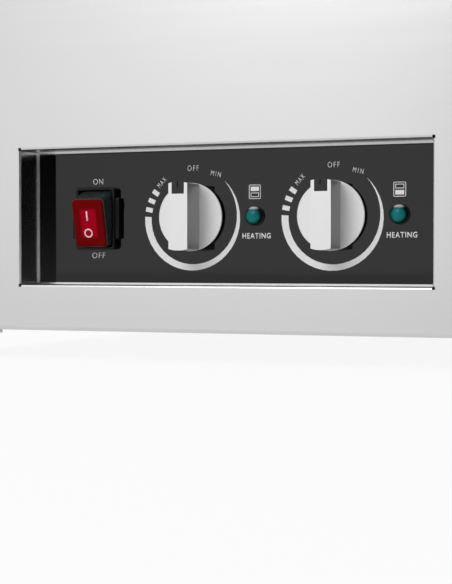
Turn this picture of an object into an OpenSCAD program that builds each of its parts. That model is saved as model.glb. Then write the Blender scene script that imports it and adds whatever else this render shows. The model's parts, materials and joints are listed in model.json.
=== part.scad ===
// Electric bain-marie for a countertop: two separately heated wet wells, one behind the other,
// each with a lift-out food pan and a hinged cover. The controls sit in a recess of the front panel.
// Millimetres. X to the right, Y to the back, Z up, resting plane at Z = 0.

/* [Wells and pans] */
// Width of a food pan over its flange
pan_w = 325; // [310:1:360]
// Length of a food pan, front to back, over its flange
pan_l = 176; // [170:1:200]
// Depth of a food pan
pan_depth = 100; // [65:1:110]
// Sheet thickness of a food pan
pan_wall = 0.9; // [0.7:0.1:1.2]
// Width of a food pan's flange
pan_flange = 12.5; // [11:0.5:14]
// Outer corner radius of a food pan
pan_corner = 20; // [16:1:24]
// Outer radius between a food pan's floor and walls
pan_fillet = 10; // [6:1:14]
// Clearance between a food pan and its tank
pan_clear = 4; // [3:0.5:5]
// Distance between the two pans' flanges
well_gap = 24; // [20:1:40]
// Depth of a tank, from the deck's top to the tank's floor
tank_depth = 132; // [125:1:150]
// Sheet thickness of a tank
tank_wall = 1; // [0.8:0.1:1.5]
// Outer radius between a tank's floor and walls
tank_fillet = 8; // [6:1:12]
// Width of a tank's flange under the deck
tank_flange = 8; // [6:0.5:9]

/* [Body] */
// Deck beside the pans, each side
side_margin = 47.5; // [40:0.5:60]
// Deck in front of the front pan
front_margin = 52; // [48:1:70]
// Deck behind the rear pan
rear_margin = 52; // [48:1:70]
// Height of the electrical space, from the panels' lower edge to the tank floors
space_h = 118; // [115:1:140]
// Sheet thickness of the panels and the base
sheet = 1.2; // [0.8:0.1:1.5]
// Outer radius of the panels' folds
fold_r = 2.2; // [2:0.1:2.8]
// Width of the front and rear panels' folded ends
return_w = 18; // [15:0.5:22]
// Width of the panels' folded lower edges
ledge_w = 10; // [8:0.5:11]
// Sheet thickness of the deck
deck_t = 1.5; // [1.2:0.1:2]
// Outer radius of the deck's edge
deck_fillet = 3; // [2:0.1:3.2]
// Height of the deck's folded edge
deck_skirt = 14; // [10:0.5:18]
// Height of the base plate's upturned edge
base_edge = 20; // [14:1:24]
// Gap between lapped sheets
lap_gap = 0.2; // [0.1:0.05:0.3]

/* [Feet] */
// Height of the panels' lower edge above the resting plane
foot_h = 18; // [14:0.5:22]
// Radius of a foot at its top
foot_r = 14; // [12:0.5:15]
// Radius of a foot where it rests
foot_rest_r = 12; // [10:0.5:13]
// Distance from the body's side to a foot's centre
foot_inset = 26; // [26:0.5:40]

/* [Control recess] */
// Clear width of the recess
recess_w = 261.4; // [258:0.2:300]
// Clear height of the recess
recess_h = 83.6; // [80:0.2:90]
// Depth of the recess, from the front face to the control plate
recess_d = 24; // [23:0.5:30]
// Height of the recess above the panels' lower edge
recess_rise = 28.5; // [26:0.1:32]
// Inner radius of the folds round the recess
recess_bend = 0.3; // [0.2:0.1:1]
// Width of the bright edge between the recess's walls and the control plate
lip_show = 1.1; // [0.8:0.1:2]
// Width of the lips that hold the control plate
lip_w = 12; // [10:0.5:14]
// Thickness of the control plate
plate_t = 2.5; // [2:0.1:4]

/* [Dials and knobs] */
// Place of the left dial, from the recess's middle
left_dial_x = -24.8; // [-27:0.1:-22]
// Place of the right dial, from the recess's middle
right_dial_x = 64.7; // [62:0.1:68]
// Distance of the dials below the recess's middle
dial_drop = 0.3; // [0:0.1:2]
// Outer radius of a dial's printed band
dial_r = 31.5; // [30:0.5:33]
// Greatest width of a dial's printed band
band_w = 4.7; // [4:0.1:5.5]
// Radius of a knob
knob_r = 20.9; // [19:0.1:22]
// Height of a knob's rim over the control plate
knob_rim_h = 3.2; // [3:0.1:4]
// Height of a knob's bar over the control plate
knob_h = 22.3; // [20:0.1:23.5]
// Width of a knob's bar
bar_w = 12.2; // [11.5:0.1:14]
// Width of a knob's pointer insert
pointer_w = 8; // [6:0.1:9]
// Length of a knob's pointer insert
pointer_l = 7.2; // [6:0.1:9]
// Radius of a thermostat's shaft
shaft_r = 3; // [2.5:0.1:3.2]

/* [Rocker switch] */
// Distance from the recess's left wall to the middle of the switch
switch_side = 42.2; // [41.2:0.1:47.2]
// Width of the switch's frame
switch_w = 26.9; // [26.6:0.1:29]
// Height of the switch's frame
switch_l = 38.8; // [37:0.1:42]
// Height of the switch's frame over the control plate
switch_h = 5; // [4:0.1:6]
// Width of the switch frame's rim
switch_rim = 1.9; // [1.8:0.1:2.1]
// Width of the rocker's red face
rocker_w = 20.4; // [18:0.1:20.6]
// Length of the rocker's red face
rocker_l = 29.6; // [27:0.1:30.2]
// Tilt of the rocker at each end of its travel
rocker_tilt = 13.4; // [10:0.1:13.6]

/* [Lamps] */
// Distance of a lamp to the right of its dial
lamp_dx = 41; // [39:0.5:43]
// Outer radius of a lamp's rim
lamp_r = 6.1; // [5.8:0.1:7]
// Height of a lamp's lens over the control plate
lamp_h = 5.6; // [5.2:0.1:8]

/* [Covers] */
// Sheet thickness of the covers
lid_t = 1; // [0.8:0.1:1.5]
// Length of a cover's fixed rear strip
strip_l = 60; // [50:1:70]
// Depth of the rims that keep a cover in its pan
lid_rim = 8; // [5:0.5:10]
// Radius of a hinge pin
pin_r = 2; // [1.5:0.1:2.5]
// Outer radius of the hinge knuckles
knuckle_r = 4.5; // [4:0.1:5]
// Length of one hinge knuckle
knuckle_l = 44; // [30:1:50]
// Radius of a flap handle's rod
handle_r = 4; // [3:0.1:5]
// Length of a flap handle over its legs' centres
handle_l = 110; // [90:1:140]
// Height of a flap handle's rod over the flap
handle_h = 34; // [28:1:45]
// Width of the ladle notch in a flap
notch_w = 32; // [24:1:36]

/* [Heating] */
// Radius of the tubular heating elements
element_r = 4; // [3:0.1:4.5]
// Distance between neighbouring runs of an element
run_pitch = 30; // [28:0.5:34]
// Left end of the elements' runs, from the middle
element_left = 120; // [110:1:130]
// Right end of the elements' straight runs, from the middle
element_right = 95; // [85:1:96]

/* [Drain and supply] */
// Distance from the body's right side to the drain
drain_in = 80; // [75:1:82]
// Drop of the drain pipe's centre below the tank floors
drain_drop = 31; // [28:1:34]
// Outer radius of the drain pipe
pipe_r = 11; // [10:0.5:12]
// Inner radius of the drain pipe
pipe_bore = 9; // [7.5:0.5:9.2]
// Radius of the drain valve's ball
ball_r = 10; // [9:0.1:11]
// Radius of the ball's bore and the valve's outlet
flow_r = 6; // [5:0.1:6.5]
// Length of the drain valve's lever
lever_l = 75; // [60:1:90]
// Outer radius of the hose tail
tail_r = 8; // [7.5:0.1:9]
// Radius of the cable gland's bore
gland_bore = 4.5; // [3:0.1:5]
// Distance from the body's left side to the cable gland
gland_in = 60; // [45:1:80]

/* [Hidden] */
$fn = 64;

// Overlap that makes a cut clean, length of a cut through one sheet, and clearances of the fits
cut = 1;
through = 5;
sliver = 0.01;
seat_gap = 0.3;
run_fit = 0.05;
press_fit = 0.02;

// Body
body_w = pan_w + 2 * side_margin;
body_d = front_margin + 2 * pan_l + well_gap + rear_margin;
body_h = space_h + tank_depth;
front_y = -body_d / 2;
rear_y = body_d / 2;
floor_z = foot_h + space_h;
deck_z = foot_h + body_h;
panel_top = deck_z - deck_fillet;
side_in = body_w / 2 - 2 * sheet - lap_gap;
base_z = foot_h + sheet;
base_w = 2 * (side_in - lap_gap);
base_d = body_d - 2 * (sheet + lap_gap);
base_corner = 4;
deck_w = body_w + 2 * (lap_gap + deck_t);
deck_d = body_d + 2 * (lap_gap + deck_t);
deck_corner = fold_r + lap_gap + deck_t;
vent_l = 60;
vent_w = 4;
vent_rows = 6;
vent_pitch = 12;
vent_rise = 40;
vent_z = foot_h + vent_rise;

// Wells: the front one has index 0, the rear one index 1
well_y = [for (i = [0, 1]) front_y + front_margin + pan_l / 2 + i * (pan_l + well_gap)];
pan_body_w = pan_w - 2 * pan_flange;
pan_body_l = pan_l - 2 * pan_flange;
tank_w = pan_body_w + 2 * pan_clear;
tank_l = pan_body_l + 2 * pan_clear;
tank_corner = pan_corner + pan_clear;
tank_under = floor_z - tank_wall;

// The origin is under the middle of the box that holds the whole object
tail_l = 20;
valve_l = 40;
valve_y = rear_y + lap_gap;
reach_back = valve_y + valve_l + tail_l;
reach_front = deck_d / 2;
body_y = -(reach_back - reach_front) / 2;

// Recess and control plate
recess_z0 = foot_h + recess_rise;
recess_z1 = recess_z0 + recess_h;
recess_z = (recess_z0 + recess_z1) / 2;
plate_y = front_y + recess_d;
plate_back_y = plate_y + plate_t;
recess_fold = sheet + recess_bend;
corner_gap = 0.3;
lip_inset = 1;
plate_stud_r = 2;
plate_stud_l = 8;
plate_nut_r = 4;
plate_nut_t = 3;
stud_end_in = 10;
stud_mid_x = 42;
plate_stud_x = [stud_end_in - recess_w / 2, -stud_mid_x, stud_mid_x, recess_w / 2 - stud_end_in];
plate_stud_z = [recess_z0 - (lip_w + sheet) / 2, recess_z1 + (lip_w + sheet) / 2];

// Printed dials and zone icons
dial_z = recess_z - dial_drop;
dial_x = [left_dial_x, right_dial_x];
print_t = 0.15;
print_drop = 1.2;
band_start = 47.8;
band_sweep = 231;
band_step = 8.25;
band_growth = 84;
tick_count = 3;
tick_start = 179.4;
tick_pitch = 11.2;
tick_r = 4.6;
tick_t = 2.8;
icon_w = 7.5;
icon_h = 8.6;
icon_corner = 0.7;
icon_line = 0.36;
icon_well_w = 5.3;
icon_well_h = 2.6;
icon_pitch = 3.6;
icon_up = 14.5;

// Knobs and thermostats
knob_gap = 0.8;
skirt_t = 1.2;
skirt_inset = 0.25;
stem_r = 4.6;
stem_h = 17;
shaft_h = 14;
shaft_flat = 0.6;
shaft_in = 10;
shaft_room = 1.5;
shaft_hole_r = shaft_r + shaft_room;
pointer_t = 2.5;
bar_trim = 0.3;
thermostat_w = 44;
thermostat_h = 36;
thermostat_d = 28;
screw_spread = 14;
csk_r = 3.4;
csk_d = 1.7;
small_screw_r = 1.5;
blade = [6.3, 0.8, 8];

// Rocker switch
switch_x = switch_side - recess_w / 2;
switch_drop = 0.6;
switch_z = recess_z - switch_drop;
window_w = switch_w - 2 * switch_rim;
window_l = switch_l - 2 * switch_rim;
switch_in_w = 22.4;
switch_in_l = 30.4;
switch_in_d = 30;
switch_corner = 2.5;
window_corner = 0.6;
ear_w = 2.6;
ear_l = 25.5;
ear_h = 3.8;
pivot_h = 3;
trunnion_r = 1.5;
face_h = 10.85;
face_t = 2.4;
core_w = 15;
core_l = 14;
pillar_gap = 0.4;
pillar_t = 1.4;
pillar_l = 6;
pillar_top = 1;
pillar_h = pivot_h + trunnion_r + pillar_top;
trunnion_l = core_w + 2 * (pillar_gap + pillar_t);
cover_drop = 1;
cover_top_h = face_h - cover_drop;
cover_low_gap = 0.65;
cover_side_gap = 0.35;
cover_wall = 0.9;
cover_l = window_l - 2 * cover_low_gap;
cover_low_h = (cover_l / 2 * sin(rocker_tilt) + seat_gap - pivot_h) / cos(rocker_tilt);

// Lamps
lamp_z = recess_z;
lamp_rim_h = 1.6;
lamp_rim_w = 0.6;
lens_r = lamp_r - lamp_rim_w;
lens_dome = 3.4;
lens_ball_r = (pow(lens_r, 2) + pow(lens_dome, 2)) / (2 * lens_dome);
lens_seat = 0.25;
lamp_body_r = lens_r - lens_seat;
lamp_body_d = 22;
lamp_clip_over = 2;
lamp_clip_r = lamp_r + lamp_clip_over;
lamp_clip_t = 3;

// Covers
rim_z = deck_z + seat_gap + pan_wall;
lid_z = rim_z + seat_gap;
hinge_z = lid_z + lid_t + knuckle_r;
flange_corner = 12;
lid_inset = 1;
rim_clear = 2.5;
hinge_gap = 2;
knuckles = 5;
knuckle_gap = 0.5;
web_in = 0.5;
web_l = 7;
web_t = 3;
pin_end = 2;
hinge_l = knuckles * knuckle_l + (knuckles - 1) * knuckle_gap;
handle_in = 34;
handle_bend = 12;
pad_r = 8;
pad_t = 1.5;
notch_x = 105;
notch_l = 40;

// Heating, and which way each well's sensor leaves and which dial it serves
touch = 0.1;
element_z = tank_under - touch - element_r;
element_turn = 20;
insulator_l = 8;
insulator_r = 3;
bulb_l = 90;
clamp_x = [-60, 50];
clamp_w = 16;
clamp_t = 1.5;
clamp_over = 11;
runs = 4;
clamp_l = (runs - 1) * run_pitch + 2 * clamp_over;
clamp_top = element_z - element_r - touch;
stud_r = 2.5;
nut_r = 4.8;
nut_t = 4;
stud_over = 1;
stud_l = tank_under - clamp_top + clamp_t + nut_t + stud_over;
capillary_r = 1;
capillary_x = 80;
capillary_up = 10;
capillary_turn = 30;
cutout_r = 8;
cutout_h = 10;
cutout_x = 80;
sensor_side = [1, -1];
sensor_dial = [1, 0];

// Drain and supply
drain_x = body_w / 2 - drain_in;
drain_z = tank_under - drain_drop;
riser_r = 8;
riser_bore = 6;
pipe_end = 3;
valve_r = 15;
socket_l = 8;
ball_gap = 0.3;
stem_boss_r = 7;
stem_boss_h = 9;
valve_stem_r = 3.2;
lever_w = 12;
lever_t = 3;
lever_nut_r = 5.5;
lever_top = valve_r + stem_boss_h + seat_gap + lever_t + nut_t + stud_over;
grip_l = 45;
grip_t = 1.6;
gland_x = gland_in - body_w / 2;
gland_rise = 45;
gland_z = foot_h + gland_rise;
gland_thread_r = 8;
gland_hex_r = 13;
gland_hex_l = 6;
gland_cap_l = 18;
gland_cap_r = 11;
gland_nose_r = 8.5;
gland_in_l = 12;
block_w = 60;
block_l = 24;
block_h = 20;
block_in = 100;
block_y = rear_y - block_in;
loom_r = 4;
loom_z = base_z + sheet + block_h / 2;
loom_bend = 15;
loom_out = 20;

// Fasteners
screw_r = 2;
screw_head_r = 4;
screw_head_h = 2.2;
screw_socket = 0.8;
screw_fit = 0.1;
screw_l = 8;
end_screw_in = 40;
end_screw_z = [for (i = [0:2]) foot_h + end_screw_in + i * (body_h / 2 - end_screw_in)];
base_screw_in = 58;
foot_bore_r = 5.5;
foot_bore_h = 8;

// Colours
steel = "lightgrey";
bright = "silver";
black = [0.07, 0.07, 0.07];

// Frames of reference

// Body coordinates, which have the middle of the body's footprint at X = 0, Y = 0
module in_body() {
    translate([0, body_y, 0]) children();
}

// Control plate coordinates: X to the right, Y up, Z out of the plate towards the user
module on_plate(x, z) {
    in_body() translate([x, plate_y, z]) rotate([90, 0, 0]) children();
}

module at_dial(side) {
    on_plate(dial_x[side], dial_z) children();
}

module at_lamp(side) {
    on_plate(dial_x[side] + lamp_dx, lamp_z) children();
}

// Shared shapes

module rounded_rect(w, l, r) {
    square([w - 2 * r, l], center = true);
    square([w, l - 2 * r], center = true);
    for (x = [-1, 1], y = [-1, 1])
        translate([x * (w / 2 - r), y * (l / 2 - r)]) circle(r);
}

// Quarter of a ring whose centre is at the origin, in the corner of +X and -Y
module fold_arc(r, t) {
    intersection() {
        difference() {
            circle(r);
            circle(r - t);
        }
        translate([0, -r]) square(r);
    }
}

// Section of a pressed tray, from the corner's centre line out to the wall
module tray_section(h, rc, rf, t) {
    square([rc - rf, t]);
    translate([rc - rf, rf]) fold_arc(rf, t);
    translate([rc - t, rf]) square([t, h - rf]);
}

// Pressed sheet tray that opens upwards, with its floor at Z = 0
module tray(w, l, h, rc, rf, t) {
    sx = w - 2 * rc;
    sy = l - 2 * rc;
    translate([-sx / 2, -sy / 2, 0]) cube([sx, sy, t]);
    for (k = [0:3]) {
        run = k % 2 == 0 ? sy : sx;
        out = k % 2 == 0 ? sx / 2 : sy / 2;
        rotate([0, 0, 90 * k]) {
            translate([out, 0, 0]) rotate([90, 0, 0])
                linear_extrude(run, center = true) tray_section(h, rc, rf, t);
            translate([out, run / 2, 0]) rotate_extrude(angle = 90) tray_section(h, rc, rf, t);
        }
    }
}

// Slot with round ends along X
module slot(l, w, h) {
    linear_extrude(h, center = true) {
        square([l - w, w], center = true);
        for (x = [-1, 1]) translate([x * (l - w) / 2, 0]) circle(w / 2);
    }
}

// Round rod along a route, with a ball at each corner
module route(points, r) {
    for (i = [0:len(points) - 2]) {
        way = points[i + 1] - points[i];
        span = norm(way);
        translate(points[i])
            rotate([0, acos(way[2] / span), atan2(way[1], way[0])]) cylinder(span, r, r);
        if (i > 0) translate(points[i]) sphere(r);
    }
}

module hex_nut(r, h, bore) {
    difference() {
        cylinder(h, r, r, $fn = 6);
        translate([0, 0, -cut]) cylinder(h + 2 * cut, bore, bore);
    }
}

// Screw whose head sits on Z = 0 and whose shank points to -Z
module screw(l, r, head_r, head_h) {
    translate([0, 0, -l]) cylinder(l + cut, r, r);
    difference() {
        cylinder(head_h, head_r, head_r);
        translate([0, 0, head_h - screw_socket])
            cylinder(screw_socket + cut, head_r / 2, head_r / 2, $fn = 6);
    }
}

// Panels

// Plan section of a face panel: the face along Y = 0 and its two folded ends
module panel_plan() {
    difference() {
        translate([0, body_w / 2]) rounded_rect(body_w, body_w, fold_r);
        translate([0, body_w / 2]) rounded_rect(body_w - 2 * sheet, body_w - 2 * sheet, fold_r - sheet);
        translate([-body_w, return_w]) square([2 * body_w, body_w]);
    }
}

// Section of a fold from a face along X = 0 into a strip of sheet along Y = 0
module fold_section(strip_end, r) {
    translate([r, r]) mirror([1, 0]) fold_arc(r, sheet);
    translate([r, 0]) square([strip_end - r, sheet]);
}

// Screws through the folded ends, heads on both sides of the body
module at_end_screws() {
    for (side = [-1, 1], end = [-1, 1], z = end_screw_z)
        translate([side * body_w / 2, end * (body_d / 2 - return_w / 2), z])
            rotate([0, side * 90, 0]) children();
}

// Screws through the front and rear ledges, heads below
module at_base_screws() {
    for (x = [-1, 1], end = [-1, 1])
        translate([x * (body_w / 2 - base_screw_in), end * (body_d / 2 - (ledge_w + fold_r) / 2), foot_h])
            rotate([180, 0, 0]) children();
}

module screw_hole() {
    translate([0, 0, -screw_l]) cylinder(screw_l + cut, screw_r + screw_fit, screw_r + screw_fit);
}

// Face, folded ends and lower ledge that the front and the rear panel share, face along Y = 0
module face_panel() {
    translate([0, 0, foot_h + fold_r]) linear_extrude(panel_top - foot_h - fold_r) panel_plan();
    translate([0, 0, foot_h]) rotate([90, 0, 90])
        linear_extrude(body_w - 4 * fold_r, center = true) fold_section(ledge_w, fold_r);
}

// One wall of the recess: the fold at the front face, the wall and the lip behind it, which shows a
// narrow edge inside the wall. Depth runs along X, away from the opening along Y.
module recess_wall(l) {
    linear_extrude(l, center = true) {
        fold_section(recess_d, recess_fold);
        translate([recess_d - sheet, -lip_show]) square([sheet, lip_show + lip_w + sheet]);
    }
}

module at_plate_studs() {
    for (x = plate_stud_x, z = plate_stud_z)
        translate([x, plate_y, z]) rotate([-90, 0, 0]) children();
}

module front_panel() {
    open_w = recess_w + 2 * recess_fold;
    open_h = recess_h + 2 * recess_fold;
    color(steel) in_body() {
        difference() {
            translate([0, front_y, 0]) face_panel();
            translate([-open_w / 2, front_y - cut, recess_z0 - recess_fold])
                cube([open_w, sheet + 2 * cut, open_h]);
            at_end_screws() screw_hole();
            at_base_screws() screw_hole();
        }
        for (down = [0, 1])
            translate([0, front_y, down ? recess_z0 : recess_z1]) mirror([0, 0, down])
                rotate([90, 0, 90]) recess_wall(recess_w - 2 * corner_gap);
        for (left = [0, 1])
            translate([left ? -recess_w / 2 : recess_w / 2, front_y, recess_z]) mirror([left, 0, 0])
                mirror([1, -1, 0]) recess_wall(recess_h - 2 * corner_gap);
        at_plate_studs() cylinder(plate_stud_l, plate_stud_r, plate_stud_r);
    }
}

module rear_panel() {
    color(steel) in_body() difference() {
        translate([0, rear_y, 0]) mirror([0, 1, 0]) face_panel();
        at_end_screws() screw_hole();
        at_base_screws() screw_hole();
        translate([gland_x, rear_y, gland_z]) rotate([90, 0, 0])
            cylinder(through, gland_thread_r + screw_fit, gland_thread_r + screw_fit, center = true);
        translate([drain_x, rear_y, drain_z]) rotate([90, 0, 0])
            cylinder(through, pipe_r + seat_gap, pipe_r + seat_gap, center = true);
        for (row = [0:vent_rows - 1], column = [0:1])
            translate([(column - 0.5) * 2 * vent_l, rear_y, vent_z + row * vent_pitch])
                rotate([90, 0, 0]) slot(vent_l, vent_w, through);
    }
}

// Upright sheet with a folded ledge, face along X = 0, length along Z
module side_panel() {
    linear_extrude(body_d - 2 * (sheet + fold_r), center = true)
        translate([0, fold_r]) square([sheet, panel_top - foot_h - fold_r]);
    linear_extrude(body_d - 2 * (ledge_w + fold_r), center = true) fold_section(ledge_w, fold_r);
}

module left_panel() {
    color(steel) in_body() difference() {
        translate([-side_in - sheet, 0, foot_h]) rotate([90, 0, 0]) side_panel();
        at_end_screws() screw_hole();
    }
}

module right_panel() {
    color(steel) in_body() difference() {
        translate([side_in + sheet, 0, foot_h]) rotate([90, 0, 180]) side_panel();
        at_end_screws() screw_hole();
    }
}

module top_deck() {
    color(steel) in_body() difference() {
        translate([0, 0, deck_z]) mirror([0, 0, 1])
            tray(deck_w, deck_d, deck_skirt, deck_corner, deck_fillet, deck_t);
        for (y = well_y) translate([0, y, deck_z - deck_t - cut])
            linear_extrude(deck_t + 2 * cut) rounded_rect(tank_w, tank_l, tank_corner);
    }
}

module at_feet() {
    for (x = [-1, 1], y = [-1, 1])
        translate([x * (body_w / 2 - foot_inset), y * (body_d / 2 - foot_inset), 0]) children();
}

module base_plate() {
    color(steel) in_body() difference() {
        translate([0, 0, base_z])
            tray(base_w, base_d, base_edge, base_corner, fold_r, sheet);
        at_feet() translate([0, 0, base_z - cut])
            cylinder(sheet + 2 * cut, screw_r + screw_fit, screw_r + screw_fit);
        at_base_screws() screw_hole();
        for (row = [0:vent_rows - 1], column = [0:1])
            translate([(column - 0.5) * 2 * vent_l, (row - (vent_rows - 1) / 2) * 2 * vent_pitch, base_z])
                slot(vent_l, vent_w, through);
    }
}

module feet() {
    color(black) in_body() at_feet() difference() {
        cylinder(base_z, foot_rest_r, foot_r);
        translate([0, 0, -cut]) cylinder(foot_bore_h + cut, foot_bore_r, foot_bore_r);
        translate([0, 0, -cut]) cylinder(base_z + 2 * cut, screw_r + press_fit, screw_r + press_fit);
    }
}

module foot_screws() {
    color(bright) in_body() at_feet() translate([0, 0, foot_bore_h]) rotate([180, 0, 0])
        screw(base_z - foot_bore_h + screw_l, screw_r, screw_head_r, screw_head_h);
}

module panel_screws() {
    color(bright) in_body() at_end_screws() screw(screw_l, screw_r, screw_head_r, screw_head_h);
}

module base_screws() {
    color(bright) in_body() at_base_screws() screw(screw_l, screw_r, screw_head_r, screw_head_h);
}

// Tanks and heating

module tank(well) {
    w = tank_w + 2 * tank_wall;
    l = tank_l + 2 * tank_wall;
    h = deck_z - deck_t - tank_under;
    color(steel) in_body() translate([0, well_y[well], tank_under]) {
        difference() {
            tray(w, l, h, tank_corner + tank_wall, tank_fillet, tank_wall);
            translate([drain_x, 0, -cut]) cylinder(tank_wall + 2 * cut, riser_bore, riser_bore);
        }
        translate([0, 0, h - tank_wall]) linear_extrude(tank_wall) difference() {
            rounded_rect(w + 2 * tank_flange, l + 2 * tank_flange, tank_corner + tank_flange);
            rounded_rect(w - tank_wall, l - tank_wall, tank_corner + tank_wall / 2);
        }
        at_clamp_studs() translate([0, 0, -stud_l]) cylinder(stud_l, stud_r, stud_r);
    }
}

module front_tank() { tank(0); }
module rear_tank() { tank(1); }

// Studs under a tank, from the tank's own middle
module at_clamp_studs() {
    for (x = clamp_x, y = [-1, 1]) translate([x, y * run_pitch, 0]) children();
}

// Tube bent into four runs, with a terminal at each end
module element(well) {
    turn_x = element_left - element_turn;
    color("dimgrey") in_body() translate([0, well_y[well], element_z]) {
        for (side = [-1, 1]) {
            translate([-element_left, side * (runs - 1) / 2 * run_pitch, 0]) rotate([0, 90, 0]) {
                cylinder(element_left + element_right, element_r, element_r);
                translate([0, 0, -insulator_l]) cylinder(insulator_l, insulator_r, insulator_r);
                translate([0, 0, -insulator_l - blade[2]]) cylinder(blade[2], small_screw_r, small_screw_r);
            }
            translate([-turn_x, side * run_pitch / 2, 0]) rotate([0, 90, 0])
                cylinder(turn_x + element_right, element_r, element_r);
            translate([element_right, side * run_pitch, 0]) rotate([0, 0, -90]) element_bend();
        }
        translate([-turn_x, 0, 0]) rotate([0, 0, 90]) element_bend();
    }
}

module element_bend() {
    rotate_extrude(angle = 180) translate([run_pitch / 2, 0]) circle(element_r);
}

module front_element() { element(0); }
module rear_element() { element(1); }

module element_clamps() {
    color(bright) in_body() for (y = well_y, x = clamp_x)
        translate([x, y, clamp_top - clamp_t]) difference() {
            translate([-clamp_w / 2, -clamp_l / 2, 0]) cube([clamp_w, clamp_l, clamp_t]);
            for (side = [-1, 1]) translate([0, side * run_pitch, -cut])
                cylinder(clamp_t + 2 * cut, stud_r + screw_fit, stud_r + screw_fit);
        }
}

module clamp_nuts() {
    color(bright) in_body() for (y = well_y)
        translate([0, y, clamp_top - clamp_t - nut_t]) at_clamp_studs()
            hex_nut(nut_r, nut_t, stud_r + press_fit);
}

module thermal_cutouts() {
    color(black) in_body() for (well = [0, 1])
        translate([-sensor_side[well] * cutout_x, well_y[well], tank_under - cutout_h]) {
            cylinder(cutout_h, cutout_r, cutout_r);
            for (side = [-1, 1]) translate([side * cutout_r / 2, 0, -blade[2] / 2])
                cube([blade[1], blade[0], blade[2]], center = true);
        }
}

// Bulb under a tank and its tube to the thermostat
module sensor(well) {
    side = sensor_side[well];
    x_end = dial_x[sensor_dial[well]];
    y = well_y[well];
    z = dial_z + capillary_up;
    y_end = plate_back_y + thermostat_d;
    y_turn = y_end + capillary_turn;
    color("goldenrod") in_body() {
        translate([-bulb_l / 2, y, element_z]) rotate([0, 90, 0]) cylinder(bulb_l, element_r, element_r);
        route([
            [side * (bulb_l / 2 - cut), y, element_z],
            [side * capillary_x, y, element_z],
            [side * capillary_x, y, z],
            [side * capillary_x, y_turn, z],
            [x_end, y_turn, z],
            [x_end, y_end, z]
        ], capillary_r);
    }
}

module left_sensor() { sensor(1); }
module right_sensor() { sensor(0); }

// Control plate

module control_plate() {
    w = recess_w + 2 * (lip_w + sheet - lip_inset);
    h = recess_h + 2 * (lip_w + sheet - lip_inset);
    color(black) difference() {
        on_plate(0, recess_z) translate([-w / 2, -h / 2, -plate_t]) cube([w, h, plate_t]);
        on_plate(switch_x, switch_z) translate([0, 0, -plate_t / 2]) linear_extrude(through, center = true)
            square([switch_in_w + 2 * seat_gap, switch_in_l + 2 * seat_gap], center = true);
        for (side = [0, 1]) {
            at_dial(side) {
                translate([0, 0, -plate_t - cut]) cylinder(plate_t + 2 * cut, shaft_hole_r, shaft_hole_r);
                at_thermostat_screws() countersunk(screw_fit, plate_t + cut);
            }
            at_lamp(side) translate([0, 0, -plate_t - cut])
                cylinder(plate_t + 2 * cut, lamp_body_r + screw_fit, lamp_body_r + screw_fit);
        }
        in_body() at_plate_studs() translate([0, 0, -cut])
            cylinder(plate_t + 2 * cut, plate_stud_r + screw_fit, plate_stud_r + screw_fit);
    }
}

module plate_nuts() {
    color(bright) in_body() at_plate_studs() translate([0, 0, plate_t])
        hex_nut(plate_nut_r, plate_nut_t, plate_stud_r + press_fit);
}

module at_thermostat_screws() {
    for (x = [-1, 1]) translate([x * screw_spread, 0, 0]) children();
}

// Countersunk screw body whose head is level with Z = 0
module countersunk(grow, l) {
    translate([0, 0, -csk_d - grow]) cylinder(csk_d + grow, small_screw_r + grow, csk_r + grow);
    translate([0, 0, -l]) cylinder(l - csk_d, small_screw_r + grow, small_screw_r + grow);
    if (grow > 0) cylinder(cut, csk_r + grow, csk_r + grow);
}

// Printed band of a dial: it starts as a point at the upper right and widens clockwise to the left
function band_width(turn) = band_w * (1 - exp(-turn / band_growth));
function dial_point(r, turn) = r * [cos(band_start - turn), sin(band_start - turn)];

module dial_band() {
    outer = [for (turn = [0:band_step:band_sweep]) dial_point(dial_r, turn)];
    inner = [for (turn = [band_sweep:-band_step:band_step]) dial_point(dial_r - band_width(turn), turn)];
    polygon(concat(outer, inner));
}

module dial_ticks() {
    for (i = [1:tick_count]) rotate(tick_start - i * tick_pitch)
        translate([dial_r - tick_r / 2, 0]) square([tick_r, tick_t], center = true);
}

// Plan of the two wells as an icon, with the well that this dial heats filled in
module zone_icon(filled) {
    difference() {
        rounded_rect(icon_w, icon_h, icon_corner);
        rounded_rect(icon_w - 2 * icon_line, icon_h - 2 * icon_line, icon_corner - icon_line);
    }
    for (i = [0, 1]) translate([0, (i - 0.5) * icon_pitch]) difference() {
        square([icon_well_w, icon_well_h], center = true);
        if (i != filled) square([icon_well_w - 2 * icon_line, icon_well_h - 2 * icon_line], center = true);
    }
}

module dial_print() {
    color("white") for (side = [0, 1]) {
        at_dial(side) translate([0, -print_drop, 0]) linear_extrude(print_t) {
            dial_band();
            dial_ticks();
        }
        at_lamp(side) translate([0, icon_up, 0]) linear_extrude(print_t) zone_icon(1 - side);
    }
}

module lamp_rims() {
    color(black) for (side = [0, 1]) at_lamp(side) difference() {
        cylinder(lamp_rim_h, lamp_r, lamp_r);
        translate([0, 0, -cut]) cylinder(lamp_rim_h + 2 * cut, lens_r + press_fit, lens_r + press_fit);
    }
}

module lamp_lenses() {
    color("teal") for (side = [0, 1]) at_lamp(side) intersection() {
        cylinder(lamp_h + cut, lens_r, lens_r);
        translate([0, 0, lamp_h - lens_ball_r]) sphere(lens_ball_r);
    }
}

module lamp_bodies() {
    color("ivory") for (side = [0, 1]) at_lamp(side) {
        translate([0, 0, -lamp_body_d]) cylinder(lamp_body_d, lamp_body_r, lamp_body_r);
        translate([0, 0, -plate_t - lamp_clip_t]) cylinder(lamp_clip_t, lamp_clip_r, lamp_clip_r);
        for (x = [-1, 1]) translate([x * lamp_body_r / 2, 0, -lamp_body_d - blade[2] / 2])
            cube([blade[1], blade[0], blade[2]], center = true);
    }
}

// Rocker switch

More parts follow.
